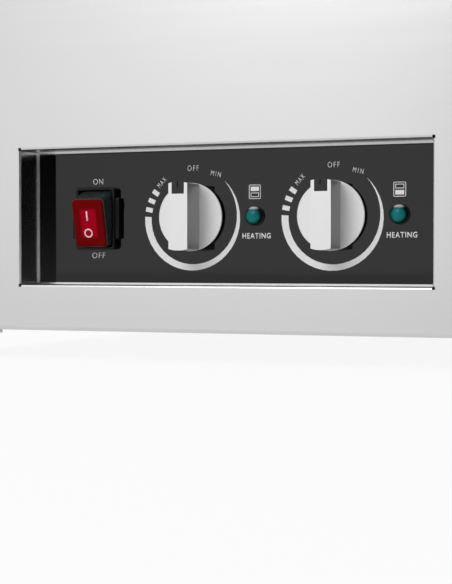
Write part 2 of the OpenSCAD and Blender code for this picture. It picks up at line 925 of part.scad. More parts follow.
module switch_frame() {
    color(black) on_plate(switch_x, switch_z) {
        linear_extrude(switch_h) difference() {
            rounded_rect(switch_w, switch_l, switch_corner);
            rounded_rect(window_w, window_l, window_corner);
        }
        for (side = [-1, 1]) translate([side * (switch_w - switch_rim + ear_w) / 2, 0, ear_h / 2])
            cube([switch_rim + ear_w, ear_l, ear_h], center = true);
    }
}

// Body behind the plate, with two pillars that carry the rocker's pivot
module switch_body() {
    color(black) on_plate(switch_x, switch_z) {
        translate([0, 0, -switch_in_d / 2]) cube([switch_in_w, switch_in_l, switch_in_d], center = true);
        for (x = [-1, 1], y = [-1, 0, 1])
            translate([x * switch_in_w / 4, y * switch_in_l / 3, -switch_in_d - blade[2] / 2])
                cube([blade[1], blade[0], blade[2]], center = true);
        difference() {
            for (x = [-1, 1]) translate([x * (trunnion_l - pillar_t) / 2, 0, (pillar_h - cut) / 2])
                cube([pillar_t, pillar_l, pillar_h + cut], center = true);
            translate([0, 0, pivot_h]) rotate([0, 90, 0])
                cylinder(trunnion_l + 2 * cut, trunnion_r + run_fit, trunnion_r + run_fit, center = true);
        }
    }
}

// Rocker coordinates: origin on the pivot, Z out through the middle of the rocker's face
module on_rocker() {
    on_plate(switch_x, switch_z) translate([0, 0, pivot_h]) rotate([rocker_tilt, 0, 0]) children();
}

module rocker() {
    color("firebrick") on_rocker() {
        translate([0, 0, face_h - face_t / 2]) cube([rocker_w, rocker_l, face_t], center = true);
        translate([-core_w / 2, -core_l / 2, 0]) cube([core_w, core_l, face_h - face_t]);
        rotate([0, 90, 0]) cylinder(trunnion_l, trunnion_r, trunnion_r, center = true);
    }
}

// Flexible cover that tapers from the frame's window to the rocker's face
module rocker_cover() {
    low = [window_w - 2 * cover_side_gap, cover_l, cover_low_h];
    top = [rocker_w + 2 * cover_wall, rocker_l + 2 * cover_wall, cover_top_h];
    inner = 2 * cover_wall;
    color("darkslategrey") on_rocker() difference() {
        frustum(low, top);
        frustum(low - [inner, inner, cut], top - [inner - 2 * press_fit, inner - 2 * press_fit, -cut]);
    }
}

// Straight-sided solid between two rectangles, each given as width, length and height
module frustum(low, top) {
    hull() for (end = [low, top]) translate([0, 0, end[2]])
        linear_extrude(sliver, center = true) square([end[0], end[1]], center = true);
}

// Thermostats and knobs

module thermostat(side) {
    color("tan") at_dial(side) difference() {
        union() {
            translate([-thermostat_w / 2, -thermostat_h / 2, -plate_t - thermostat_d])
                cube([thermostat_w, thermostat_h, thermostat_d]);
            for (x = [-1, 1])
                translate([x * screw_spread, -thermostat_h / 4, -plate_t - thermostat_d - blade[2] / 2])
                    cube(blade, center = true);
        }
        translate([0, 0, -plate_t - shaft_in - seat_gap])
            cylinder(shaft_in + seat_gap + cut, shaft_r + run_fit, shaft_r + run_fit);
        at_thermostat_screws() translate([0, 0, -plate_t - screw_l])
            cylinder(screw_l + cut, small_screw_r + press_fit, small_screw_r + press_fit);
    }
}

module left_thermostat() { thermostat(0); }
module right_thermostat() { thermostat(1); }

module thermostat_screws() {
    color(bright) for (side = [0, 1]) at_dial(side) at_thermostat_screws()
        countersunk(0, plate_t + screw_l - cut);
}

// Round shaft with a flat on the part that carries the knob
module shaft_solid(l, r, z0) {
    difference() {
        translate([0, 0, z0]) cylinder(l, r, r);
        translate([-r, r - shaft_flat, knob_gap]) cube([2 * r, r, l + cut]);
    }
}

module shaft(side) {
    color(bright) at_dial(side) shaft_solid(shaft_h + plate_t + shaft_in, shaft_r, -plate_t - shaft_in);
}

module left_shaft() { shaft(0); }
module right_shaft() { shaft(1); }

module knob_core(side) {
    color(black) at_dial(side) difference() {
        union() {
            translate([0, 0, knob_gap]) cylinder(skirt_t, knob_r - skirt_inset, knob_r - skirt_inset);
            translate([0, 0, knob_gap]) cylinder(stem_h - knob_gap, stem_r, stem_r);
        }
        shaft_solid(shaft_h + press_fit + cut, shaft_r + press_fit, -cut);
    }
}

module left_knob_core() { knob_core(0); }
module right_knob_core() { knob_core(1); }

// Block across the knob's bar, cut to the knob's round outline
module bar_piece(w, y0, z0, z1) {
    intersection() {
        translate([-w / 2, y0, z0]) cube([w, 2 * knob_r, z1 - z0]);
        translate([0, 0, z0]) cylinder(z1 - z0, knob_r - bar_trim, knob_r - bar_trim);
    }
}

module knob_cap(side) {
    low = knob_gap + skirt_t;
    color(bright) at_dial(side) difference() {
        union() {
            translate([0, 0, low]) cylinder(knob_rim_h - low, knob_r, knob_r);
            bar_piece(bar_w, -knob_r, low, knob_h);
        }
        translate([0, 0, low - cut])
            cylinder(stem_h - low + cut + press_fit, stem_r + press_fit, stem_r + press_fit);
        translate([-pointer_w / 2 - press_fit, knob_r - bar_trim - pointer_l - press_fit, knob_h - pointer_t])
            cube([pointer_w + 2 * press_fit, 2 * pointer_l, pointer_t + cut]);
    }
}

module left_knob_cap() { knob_cap(0); }
module right_knob_cap() { knob_cap(1); }

module pointer(side) {
    color(black) at_dial(side)
        bar_piece(pointer_w, knob_r - bar_trim - pointer_l, knob_h - pointer_t, knob_h);
}

module left_pointer() { pointer(0); }
module right_pointer() { pointer(1); }

// Supply

module terminal_block() {
    color("ivory") in_body() translate([switch_x, block_y, base_z + sheet]) difference() {
        translate([-block_w / 2, -block_l / 2, 0]) cube([block_w, block_l, block_h]);
        for (i = [-1, 0, 1], side = [-1, 1]) translate([i * block_w / 3, side * block_l / 4, block_h / 2])
            cylinder(block_h, small_screw_r, small_screw_r);
    }
}

// Quarter bend of the loom in an upright plane, in the corner of +Y and +Z
module loom_elbow() {
    rotate([90, 0, 90]) rotate_extrude(angle = 90) translate([loom_bend, 0]) circle(loom_r);
}

// Round rod along Y, up and along Y again, from the terminal block to the switch above it
module wiring_loom() {
    y_end = plate_y + switch_in_d + blade[2];
    y_up = y_end + loom_out + loom_bend;
    y_start = block_y - block_l / 2;
    color("dimgrey") in_body() translate([switch_x, 0, 0]) {
        translate([0, y_up + loom_bend, loom_z]) along_y(0, y_start - y_up - loom_bend, loom_r);
        translate([0, y_up + loom_bend, loom_z + loom_bend]) rotate([180, 0, 0]) loom_elbow();
        translate([0, y_up, loom_z + loom_bend]) cylinder(switch_z - loom_z - 2 * loom_bend, loom_r, loom_r);
        translate([0, y_end + loom_out, switch_z - loom_bend]) loom_elbow();
        translate([0, y_end, switch_z]) along_y(0, loom_out, loom_r);
    }
}

// Gland coordinates: origin on the rear panel's outer face, Z out through the gland
module at_gland() {
    in_body() translate([gland_x, rear_y, gland_z]) rotate([-90, 0, 0]) children();
}

module cable_gland() {
    color(black) at_gland() difference() {
        union() {
            translate([0, 0, -gland_in_l]) cylinder(gland_in_l, gland_thread_r, gland_thread_r);
            cylinder(gland_hex_l, gland_hex_r, gland_hex_r, $fn = 6);
            translate([0, 0, gland_hex_l]) cylinder(gland_cap_l, gland_cap_r, gland_nose_r);
        }
        translate([0, 0, -gland_in_l - cut])
            cylinder(gland_in_l + gland_hex_l + gland_cap_l + 2 * cut, gland_bore, gland_bore);
    }
}

module gland_nut() {
    color(black) at_gland() translate([0, 0, -sheet - nut_t])
        hex_nut(gland_hex_r, nut_t, gland_thread_r + press_fit);
}

// Drain

// Drain coordinates: origin on the valve's axis at the valve's inner end
module at_drain() {
    in_body() translate([drain_x, valve_y, drain_z]) children();
}

// Round solid along Y
module along_y(y0, y1, r) {
    translate([0, y0, 0]) rotate([-90, 0, 0]) cylinder(y1 - y0, r, r);
}

module drain_manifold() {
    closed_y = well_y[0] - riser_r - pipe_end - valve_y;
    open_y = socket_l - seat_gap;
    color(bright) at_drain() difference() {
        union() {
            along_y(closed_y, open_y, pipe_r);
            for (y = well_y) translate([0, y - valve_y, 0]) cylinder(drain_drop, riser_r, riser_r);
        }
        along_y(closed_y + pipe_end, open_y + cut, pipe_bore);
        for (y = well_y) translate([0, y - valve_y, 0]) cylinder(drain_drop + cut, riser_bore, riser_bore);
    }
}

module valve_body() {
    color("goldenrod") at_drain() difference() {
        union() {
            along_y(0, valve_l, valve_r);
            along_y(valve_l - cut, valve_l + tail_l, tail_r);
            translate([0, valve_l / 2, 0]) cylinder(valve_r + stem_boss_h, stem_boss_r, stem_boss_r);
        }
        along_y(-cut, socket_l, pipe_r + press_fit);
        along_y(socket_l - cut, valve_l + tail_l + cut, flow_r);
        translate([0, valve_l / 2, 0]) {
            sphere(ball_r + ball_gap);
            cylinder(valve_r + stem_boss_h + cut, valve_stem_r + run_fit, valve_stem_r + run_fit);
        }
    }
}

// Ball whose bore lies across the flow when the valve is shut, with its stem
module valve_ball() {
    color(bright) at_drain() translate([0, valve_l / 2, 0]) difference() {
        union() {
            sphere(ball_r);
            cylinder(lever_top, valve_stem_r, valve_stem_r);
        }
        rotate([0, 90, 0]) cylinder(2 * ball_r + 2 * cut, flow_r, flow_r, center = true);
    }
}

// Lever coordinates: origin on the stem's axis at the lever's underside
module at_lever() {
    at_drain() translate([0, valve_l / 2, valve_r + stem_boss_h + seat_gap]) children();
}

module valve_lever() {
    color(bright) at_lever() {
        difference() {
            linear_extrude(lever_t) {
                translate([-lever_l / 2, 0]) square([lever_l, lever_w], center = true);
                circle(lever_w / 2);
            }
            translate([0, 0, -cut])
                cylinder(lever_t + 2 * cut, valve_stem_r + press_fit, valve_stem_r + press_fit);
        }
        translate([0, 0, lever_t]) hex_nut(lever_nut_r, nut_t, valve_stem_r + press_fit);
    }
}

module lever_grip() {
    slot_t = lever_t + 2 * press_fit;
    slot_w = lever_w + 2 * press_fit;
    color("firebrick") at_lever() translate([-lever_l - grip_t, 0, lever_t / 2]) rotate([0, 90, 0])
        difference() {
            linear_extrude(grip_l + grip_t)
                rounded_rect(lever_t + 2 * grip_t, lever_w + 2 * grip_t, grip_t);
            translate([-slot_t / 2, -slot_w / 2, grip_t - press_fit])
                cube([slot_t, slot_w, grip_l + press_fit + cut]);
        }
}

// Food pans and covers

module pan(well) {
    color(bright) in_body() translate([0, well_y[well], rim_z - pan_depth]) {
        tray(pan_body_w, pan_body_l, pan_depth, pan_corner, pan_fillet, pan_wall);
        translate([0, 0, pan_depth - pan_wall]) linear_extrude(pan_wall) difference() {
            rounded_rect(pan_w, pan_l, flange_corner);
            rounded_rect(pan_body_w - pan_wall, pan_body_l - pan_wall, pan_corner - pan_wall / 2);
        }
    }
}

module front_pan() { pan(0); }
module rear_pan() { pan(1); }

// Hinge coordinates: origin on the hinge's axis at the middle of the well
module at_hinge(well) {
    in_body() translate([0, well_y[well] + pan_l / 2 - strip_l, hinge_z]) children();
}

// Knuckles on every other place from the first one given, with webs that lead to the sheet on one side
module knuckle_row(first, side, bore) {
    for (k = [first:2:knuckles - 1])
        translate([-hinge_l / 2 + k * (knuckle_l + knuckle_gap), 0, 0]) difference() {
            union() {
                rotate([0, 90, 0]) cylinder(knuckle_l, knuckle_r, knuckle_r);
                translate([0, side > 0 ? web_in : -web_l, -knuckle_r])
                    cube([knuckle_l, web_l - web_in, web_t]);
            }
            translate([-cut, 0, 0]) rotate([0, 90, 0]) cylinder(knuckle_l + 2 * cut, bore, bore);
        }
}

// Sheet of a whole cover as seen from above, from the hinge
module cover_plan() {
    translate([0, strip_l - pan_l / 2])
        rounded_rect(pan_w - 2 * lid_inset, pan_l - 2 * lid_inset, flange_corner - lid_inset);
}

// Rims on a cover's underside along three sides, from the hinge; side is 1 behind the hinge and -1 before it
module cover_rims(side) {
    in_w = pan_body_w - 2 * pan_wall - 2 * rim_clear;
    in_l = pan_body_l - 2 * pan_wall - 2 * rim_clear;
    y_end = strip_l - pan_l / 2 + side * in_l / 2;
    y_near = side * (web_l + rim_clear);
    y_far = y_end - side * pan_corner;
    translate([-in_w / 2 + pan_corner, min(y_end, y_end - side * lid_t), -lid_rim])
        cube([in_w - 2 * pan_corner, lid_t, lid_rim]);
    for (x = [-in_w / 2, in_w / 2 - lid_t])
        translate([x, min(y_near, y_far), -lid_rim]) cube([lid_t, abs(y_far - y_near), lid_rim]);
}

module cover(well) {
    color(bright) at_hinge(well) {
        translate([0, 0, -knuckle_r - lid_t]) {
            linear_extrude(lid_t) intersection() {
                cover_plan();
                translate([-pan_w, hinge_gap]) square([2 * pan_w, pan_l]);
            }
            cover_rims(1);
        }
        knuckle_row(0, 1, pin_r + press_fit);
    }
}

module front_cover() { cover(0); }
module rear_cover() { cover(1); }

module hinge_pin(well) {
    color(bright) at_hinge(well) rotate([0, 90, 0])
        cylinder(hinge_l + 2 * pin_end, pin_r, pin_r, center = true);
}

module front_hinge_pin() { hinge_pin(0); }
module rear_hinge_pin() { hinge_pin(1); }

module flap(well) {
    y_front = strip_l - pan_l + lid_inset;
    color(bright) at_hinge(well) {
        translate([0, 0, -knuckle_r - lid_t]) difference() {
            union() {
                linear_extrude(lid_t) intersection() {
                    cover_plan();
                    translate([-pan_w, -hinge_gap - pan_l]) square([2 * pan_w, pan_l]);
                }
                cover_rims(-1);
            }
            translate([notch_x, y_front, -lid_rim - cut]) linear_extrude(lid_rim + lid_t + 2 * cut) {
                translate([-notch_w / 2, -cut]) square([notch_w, notch_l - notch_w / 2 + cut]);
                translate([0, notch_l - notch_w / 2]) circle(notch_w / 2);
            }
        }
        knuckle_row(1, -1, pin_r + run_fit);
    }
}

module front_flap() { flap(0); }
module rear_flap() { flap(1); }

// Bow handle that stands on two pads near the flap's free edge
module flap_handle(well) {
    leg_h = handle_h - handle_bend;
    color(bright) at_hinge(well) translate([0, strip_l - pan_l + lid_inset + handle_in, -knuckle_r]) {
        for (side = [0, 1]) mirror([side, 0, 0]) translate([handle_l / 2, 0, 0]) {
            cylinder(pad_t, pad_r, pad_r);
            cylinder(leg_h, handle_r, handle_r);
            translate([-handle_bend, 0, leg_h]) rotate([90, 0, 0])
                rotate_extrude(angle = 90) translate([handle_bend, 0]) circle(handle_r);
        }
        translate([0, 0, handle_h]) rotate([0, 90, 0])
            cylinder(handle_l - 2 * handle_bend, handle_r, handle_r, center = true);
    }
}

module front_handle() { flap_handle(0); }
module rear_handle() { flap_handle(1); }

front_panel();
rear_panel();
left_panel();
right_panel();
top_deck();
base_plate();
feet();
foot_screws();
panel_screws();
base_screws();
front_tank();
rear_tank();
front_element();
rear_element();
element_clamps();
clamp_nuts();
thermal_cutouts();
control_plate();
plate_nuts();
dial_print();
switch_frame();
switch_body();
rocker();
rocker_cover();
left_thermostat();
right_thermostat();
thermostat_screws();
left_sensor();
right_sensor();
left_shaft();
left_knob_core();
left_knob_cap();
left_pointer();
right_shaft();
right_knob_core();
right_knob_cap();
right_pointer();
lamp_rims();
lamp_lenses();
lamp_bodies();
terminal_block();
wiring_loom();
cable_gland();
gland_nut();
drain_manifold();
valve_body();
valve_ball();
valve_lever();
lever_grip();
front_pan();
front_cover();
front_hinge_pin();
front_flap();
front_handle();
rear_pan();
rear_cover();
rear_hinge_pin();
rear_flap();
rear_handle();
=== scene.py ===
"""Looks of a countertop electric bain-marie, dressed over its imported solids.

Lengths are metres in the part's own frame: X to the right, Y to the back, Z up.
"""

import json
import logging
import math
from dataclasses import dataclass
from enum import Enum
from typing import Any, Optional, Sequence, Union

import bmesh
import bpy
from mathutils import Matrix, Vector

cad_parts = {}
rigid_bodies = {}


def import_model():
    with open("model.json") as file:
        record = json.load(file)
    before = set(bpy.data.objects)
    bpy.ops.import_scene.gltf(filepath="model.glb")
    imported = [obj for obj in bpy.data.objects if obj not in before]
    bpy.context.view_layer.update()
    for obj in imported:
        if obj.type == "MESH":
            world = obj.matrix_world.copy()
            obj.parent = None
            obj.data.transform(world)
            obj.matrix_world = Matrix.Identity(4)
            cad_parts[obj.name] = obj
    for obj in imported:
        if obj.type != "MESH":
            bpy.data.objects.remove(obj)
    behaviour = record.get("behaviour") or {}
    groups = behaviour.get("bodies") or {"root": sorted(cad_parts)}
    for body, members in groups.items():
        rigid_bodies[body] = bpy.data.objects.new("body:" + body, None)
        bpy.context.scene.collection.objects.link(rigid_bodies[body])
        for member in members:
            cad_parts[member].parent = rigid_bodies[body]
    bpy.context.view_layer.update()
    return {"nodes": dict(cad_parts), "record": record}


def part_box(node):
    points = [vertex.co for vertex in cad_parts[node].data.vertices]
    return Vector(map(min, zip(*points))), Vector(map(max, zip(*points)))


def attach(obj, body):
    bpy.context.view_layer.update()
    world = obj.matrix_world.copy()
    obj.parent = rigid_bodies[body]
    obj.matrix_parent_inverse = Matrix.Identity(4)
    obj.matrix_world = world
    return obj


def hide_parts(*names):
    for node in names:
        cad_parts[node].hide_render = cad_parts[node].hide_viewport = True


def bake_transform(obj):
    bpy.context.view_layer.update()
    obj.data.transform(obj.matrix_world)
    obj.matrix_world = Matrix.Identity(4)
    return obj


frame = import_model()

MM = 0.001
# Distance within which points become one, in metres and, for letters, as a share of their size
WELD = 0.001 * MM
LETTER_WELD = 1e-5
# Faces across a rounding: on pieces seen closely, on most, on thin ones, and round a slab's corner
FINE_STEPS, PLAIN_STEPS, COARSE_STEPS, CORNER_STEPS = 4, 3, 2, 6
# Least angle between faces that counts as sharp and greatest that counts as flat, in degrees
SHARP, FLAT = 30.0, 0.4
# Least share of Z in the normal of a level face
LEVEL = 0.9
# Values between which a noise pattern mostly lies
TONE_SPAN = (0.3, 0.7)
# Layers of a noise pattern, and the weight of the finer ones in brushing
NOISE_LAYERS, BRUSH_LAYERING = 3.0, 0.6
# Depth of a relief pattern at full strength
RELIEF_DEPTH = 0.03 * MM
# Sockets of a mixing node by number, since they share names: two colours or values, and the mixture
COLOUR_1, COLOUR_2, MIXED_COLOUR = 6, 7, 2
VALUE_1, VALUE_2, MIXED_VALUE = 2, 3, 0
# Middle of a piece's own coordinates
UV_MIDDLE = (0.5, 0.5, 0.0)
# Name of the knob cap's own measure of how far each face turns aside, which sets the painted shade on its
# flanks
STEEPNESS = "steepness"
LOG = logging.getLogger("bain_marie")
RECORD = frame["record"]
BODY_OF = {node: body for body, nodes in RECORD["behaviour"]["bodies"].items() for node in nodes}

Colour = tuple[float, float, float, float]
Key = Union[str, int]
Tree = bpy.types.NodeTree
Socket = bpy.types.NodeSocket
Shape = bmesh.types.BMesh
Face = bmesh.types.BMFace
Edge = bmesh.types.BMEdge
WHITE: Colour = (1.0, 1.0, 1.0, 1.0)


def linear(code: str, gain: float = 1.0) -> Colour:
    """Turns an sRGB hex colour into linear values.

    Args:
        code: Six hex digits with a leading hash.
        gain: Factor on the linear values.

    Returns:
        Linear red, green, blue and an alpha of 1.
    """
    values = []
    for start in (1, 3, 5):
        part = int(code[start:start + 2], 16) / 255
        value = part / 12.92 if part <= 0.04045 else ((part + 0.055) / 1.055) ** 2.4
        values.append(min(value * gain, 1.0))
    return (values[0], values[1], values[2], 1.0)


def add_node(tree: Tree, kind: str, settings: Optional[dict[Key, Any]] = None,
             links: Optional[dict[Key, Socket]] = None) -> bpy.types.Node:
    """Adds a node with its settings and its links.

    Args:
        tree: Node tree that gets the node.
        kind: Type name of the node.
        settings: Input names or numbers, or property names, with their values.
        links: Input names or numbers with the output sockets that feed them.

    Returns:
        The new node.
    """
    node = tree.nodes.new(kind)
    own = {key for key in settings or {} if isinstance(key, str) and hasattr(node, key)}
    for key in own:
        setattr(node, key, settings[key])
    for key, value in (settings or {}).items():
        if key not in own:
            node.inputs[key].default_value = value
    for key, source in (links or {}).items():
        tree.links.new(source, node.inputs[key])
    return node


@dataclass(frozen=True)
class Fade:
    """A smooth change of level over a value.

    Attributes:
        start: Value at which the change starts.
        end: Value at which it ends.
        before: Level before the change.
        after: Level after it.
    """

    start: float
    end: float
    before: float = 0.0
    after: float = 1.0

    def settings(self) -> dict[Key, Any]:
        """Returns the settings that make a range node follow the change."""
        return {"interpolation_type": "SMOOTHSTEP", "From Min": self.start, "From Max": self.end,
                "To Min": self.before, "To Max": self.after}


class Grain(Enum):
    """Direction in which a sheet was brushed."""

    X = 0
    Y = 1


class Side(Enum):
    """Dial on the control plate."""

    LEFT = "left"
    RIGHT = "right"


class Zone(Enum):
    """Well in the deck."""

    FRONT = "front"
    REAR = "rear"


@dataclass(frozen=True)
class Finish:
    """A surface finish that makes its own material from a tone pattern and a fine relief pattern.

    Attributes:
        name: Name of the material.
        colour: Mean colour as sRGB hex.
        roughness: Lowest and highest roughness over the tone pattern.
        contrast: Share by which the colour changes over the tone pattern.
        relief: Strength of the relief.
        metallic: 1 for bare metal, 0 for none, and between them for metal paint.
        ior: Refractive index, which bare metal does not use.
        specular: Strength of the reflection, where 0.5 is what the refractive index gives.
    """

    name: str
    colour: str
    roughness: tuple[float, float]
    contrast: float = 0.05
    relief: float = 0.05
    metallic: float = 0.0
    ior: float = 1.5
    specular: float = 0.5

    def traits(self) -> dict[Key, Any]:
        """Returns the shader's own constant values."""
        return {"Metallic": self.metallic, "IOR": self.ior, "Specular IOR Level": self.specular}

    def patterns(self, tree: Tree, place: Socket) -> tuple[Socket, Socket]:
        """Builds the tone pattern and the relief pattern at a place, and returns both."""
        raise NotImplementedError

    def tint(self, tree: Tree, tone: Socket) -> Socket:
        """Builds the colour over the tone pattern.

        Args:
            tree: Node tree that gets the nodes.
            tone: Tone pattern.

        Returns:
            The colour's socket.
        """
        return add_node(tree, "ShaderNodeMix",
                        {"data_type": "RGBA", COLOUR_1: linear(self.colour, 1 - self.contrast),
                         COLOUR_2: linear(self.colour, 1 + self.contrast)},
                        {"Factor": tone}).outputs[MIXED_COLOUR]

    def shade(self, tree: Tree) -> Socket:
        """Builds the finish's nodes.

        Args:
            tree: Node tree that gets the nodes.

        Returns:
            The shader's socket.
        """
        place = add_node(tree, "ShaderNodeTexCoord").outputs["Object"]
        tone, fine = self.patterns(tree, place)
        rough = add_node(tree, "ShaderNodeMapRange",
                         {"From Min": TONE_SPAN[0], "From Max": TONE_SPAN[1],
                          "To Min": self.roughness[0], "To Max": self.roughness[1]}, {"Value": tone})
        bump = add_node(tree, "ShaderNodeBump", {"Strength": self.relief, "Distance": RELIEF_DEPTH},
                        {"Height": fine})
        return add_node(tree, "ShaderNodeBsdfPrincipled", self.traits(),
                        {"Base Color": self.tint(tree, tone), "Roughness": rough.outputs["Result"],
                         "Normal": bump.outputs["Normal"]}).outputs["BSDF"]

    def material(self) -> bpy.types.Material:
        """Makes the material on first use.

        Returns:
            The finish's material.
        """
        known = bpy.data.materials.get(self.name)
        if known is not None:
            return known
        made = bpy.data.materials.new(self.name)
        made.use_nodes = True
        made.node_tree.nodes.clear()
        surface = self.shade(made.node_tree)
        add_node(made.node_tree, "ShaderNodeOutputMaterial", links={"Surface": surface})
        return made


@dataclass(frozen=True)
class Brushed(Finish):
    """Steel sheet, belt-brushed: long scratches that spread each reflection, over broad rolling streaks.

    Attributes:
        grain: Direction of the brushing.
        scratch_mm: Width of a scratch. Real ones, near 0.05 mm, are too fine to show and are drawn coarser.
        length_mm: Length of a scratch.
        band_mm: Width of a rolling streak.
        band_length_mm: Length of a rolling streak.
        band_share: Share of the streaks in the tone pattern.
    """

    metallic: float = 1.0
    grain: Grain = Grain.X
    scratch_mm: float = 0.35
    length_mm: float = 90.0
    band_mm: float = 4.0
    band_length_mm: float = 360.0
    band_share: float = 0.4

    def scale(self, across_mm: float, along_mm: float) -> tuple[float, float, float]:
        """Works out pattern scales per metre.

        Args:
            across_mm: Width of the pattern across the grain.
            along_mm: Length of the pattern along the grain.

        Returns:
            The scales along X, Y and Z.
        """
        scales = [1 / (across_mm * MM)] * 3
        scales[self.grain.value] = 1 / (along_mm * MM)
        return (scales[0], scales[1], scales[2])

    def patterns(self, tree: Tree, place: Socket) -> tuple[Socket, Socket]:
        """Builds scratches and streaks.

        Args:
            tree: Node tree that gets the nodes.
            place: Place on the piece.

        Returns:
            The mixture of both, and the scratches alone.
        """
        found = []
        for across, along in ((self.scratch_mm, self.length_mm), (self.band_mm, self.band_length_mm)):
            lie = add_node(tree, "ShaderNodeMapping", {"Scale": self.scale(across, along)},
                           {"Vector": place}).outputs["Vector"]
            found.append(add_node(tree, "ShaderNodeTexNoise",
                                  {"Scale": 1.0, "Detail": NOISE_LAYERS, "Roughness": BRUSH_LAYERING},
                                  {"Vector": lie}).outputs["Fac"])
        scratch, streak = found
        both = add_node(tree, "ShaderNodeMix", {"data_type": "FLOAT", "Factor": self.band_share},
                        {VALUE_1: scratch, VALUE_2: streak}).outputs[MIXED_VALUE]
        return both, scratch


@dataclass(frozen=True)
class Grained(Finish):
    """Cast, plated or moulded surface: soft patches of tone and gloss over a fine even grain.

    Attributes:
        patch_mm: Size of the patches.
        grit_mm: Size of the grain.
    """

    patch_mm: float = 8.0
    grit_mm: float = 0.4

    def patterns(self, tree: Tree, place: Socket) -> tuple[Socket, Socket]:
        """Builds patches and grain.

        Args:
            tree: Node tree that gets the nodes.
            place: Place on the piece.

        Returns:
            The patches and the grain.
        """
        patch, grit = (add_node(tree, "ShaderNodeTexNoise",
                                {"Scale": 1 / (size * MM), "Detail": NOISE_LAYERS},
                                {"Vector": place}).outputs["Fac"] for size in (self.patch_mm, self.grit_mm))
        return patch, grit


@dataclass(frozen=True)
class ClearMoulding(Grained):
    """Tinted clear silicone: dim see-through walls, and paler edges where light gathers.

    Attributes:
        clear: Share of the light that passes.
    """

    clear: float = 0.3

    def traits(self) -> dict[Key, Any]:
        """Returns the shader's own constant values, with the light that passes."""
        return {**super().traits(), "Transmission Weight": self.clear}


@dataclass(frozen=True)
class DomedLens(Grained):
    """Tinted moulded dome: a bright speckled core, painted shade that darkens it towards the edge, and a
    painted highlight across the top.

    Attributes:
        core: Colour of the core as sRGB hex.
        pale: Colour of the painted highlight on the top as sRGB hex.
        middle: Middle of the core as shares of the lens's width and height.
        dim: Share of the core's brightness that is left between its specks.
        reach: How the core gives way to the painted shade of the edge, over the distance from its middle.
        top: How the painted highlight sets in, over the height from the lens's middle.
        aside: How the painted highlight ends, over the distance beside the lens's middle.
    """

    core: str = "#008a8e"
    pale: str = "#d4e4e4"
    middle: tuple[float, float] = (0.5, 0.47)
    dim: float = 0.5
    reach: Fade = Fade(0.28, 0.46, 1.0, 0.0)
    top: Fade = Fade(0.28, 0.46)
    aside: Fade = Fade(0.15, 0.36, 1.0, 0.0)

    def tint(self, tree: Tree, tone: Socket) -> Socket:
        """Builds the painted shade of the edge, the core and the painted highlight on the top, over the
        lens's own coordinates.

        Args:
            tree: Node tree that gets the nodes.
            tone: Tone pattern, which makes the specks.

        Returns:
            The colour's socket.
        """
        lens = add_node(tree, "ShaderNodeTexCoord").outputs["UV"]
        off = add_node(tree, "ShaderNodeVectorMath", {"operation": "DISTANCE", 1: (*self.middle, 0.0)},
                       {0: lens}).outputs["Value"]
        centred = add_node(tree, "ShaderNodeVectorMath", {"operation": "SUBTRACT", 1: UV_MIDDLE}, {0: lens})
        parts = add_node(tree, "ShaderNodeSeparateXYZ", links={"Vector": centred.outputs["Vector"]}).outputs
        beside = add_node(tree, "ShaderNodeMath", {"operation": "ABSOLUTE"}, {0: parts["X"]}).outputs[0]
        # Painted shade: the core darkens into the edge colour away from its middle. Painted highlight: a
        # pale crescent across the top.
        inside, high, near = (
            add_node(tree, "ShaderNodeMapRange", fade.settings(), {"Value": value}).outputs["Result"]
            for fade, value in ((self.reach, off), (self.top, parts["Y"]), (self.aside, beside)))
        painted_highlight_mask = add_node(tree, "ShaderNodeMath", {"operation": "MULTIPLY"}, {0: high, 1: near}).outputs[0]
        speck = add_node(tree, "ShaderNodeMix",
                         {"data_type": "RGBA", COLOUR_1: linear(self.core, self.dim),
                          COLOUR_2: linear(self.core)}, {"Factor": tone}).outputs[MIXED_COLOUR]
        body = add_node(tree, "ShaderNodeMix", {"data_type": "RGBA", COLOUR_1: linear(self.colour)},
                        {"Factor": inside, COLOUR_2: speck}).outputs[MIXED_COLOUR]
        return add_node(tree, "ShaderNodeMix", {"data_type": "RGBA", COLOUR_2: linear(self.pale)},
                        {"Factor": painted_highlight_mask, COLOUR_1: body}).outputs[MIXED_COLOUR]


@dataclass(frozen=True)
class WindowedRed(Grained):
    """Red polycarbonate of the rocker: a deep border round a brighter window over the lamp inside.

    Attributes:
        window: Colour of the window as sRGB hex.
        reach: Half width and half length of the window as shares of the face.
        fade: Half width of its soft edge as a share of the face.
    """

    window: str = "#b00020"
    reach: tuple[float, float] = (0.25, 0.29)
    fade: float = 0.05

    def tint(self, tree: Tree, tone: Socket) -> Socket:
        """Builds border and window over the face's own coordinates.

        Args:
            tree: Node tree that gets the nodes.
            tone: Tone pattern.

        Returns:
            The colour's socket.
        """
        face = add_node(tree, "ShaderNodeTexCoord").outputs["UV"]
        centred = add_node(tree, "ShaderNodeVectorMath", {"operation": "SUBTRACT", 1: UV_MIDDLE}, {0: face})
        away = add_node(tree, "ShaderNodeVectorMath", {"operation": "ABSOLUTE"},
                        {0: centred.outputs["Vector"]})
        parts = add_node(tree, "ShaderNodeSeparateXYZ", links={"Vector": away.outputs["Vector"]}).outputs
        across, along = (add_node(tree, "ShaderNodeMapRange",
                                  Fade(reach - self.fade, reach + self.fade, 1.0, 0.0).settings(),
                                  {"Value": parts[axis]}).outputs["Result"]
                         for axis, reach in zip("XY", self.reach))
        inside = add_node(tree, "ShaderNodeMath", {"operation": "MULTIPLY"}, {0: across, 1: along})
        return add_node(tree, "ShaderNodeMix", {"data_type": "RGBA", COLOUR_2: linear(self.window)},
                        {"Factor": inside.outputs[0], COLOUR_1: super().tint(tree, tone)}
                        ).outputs[MIXED_COLOUR]


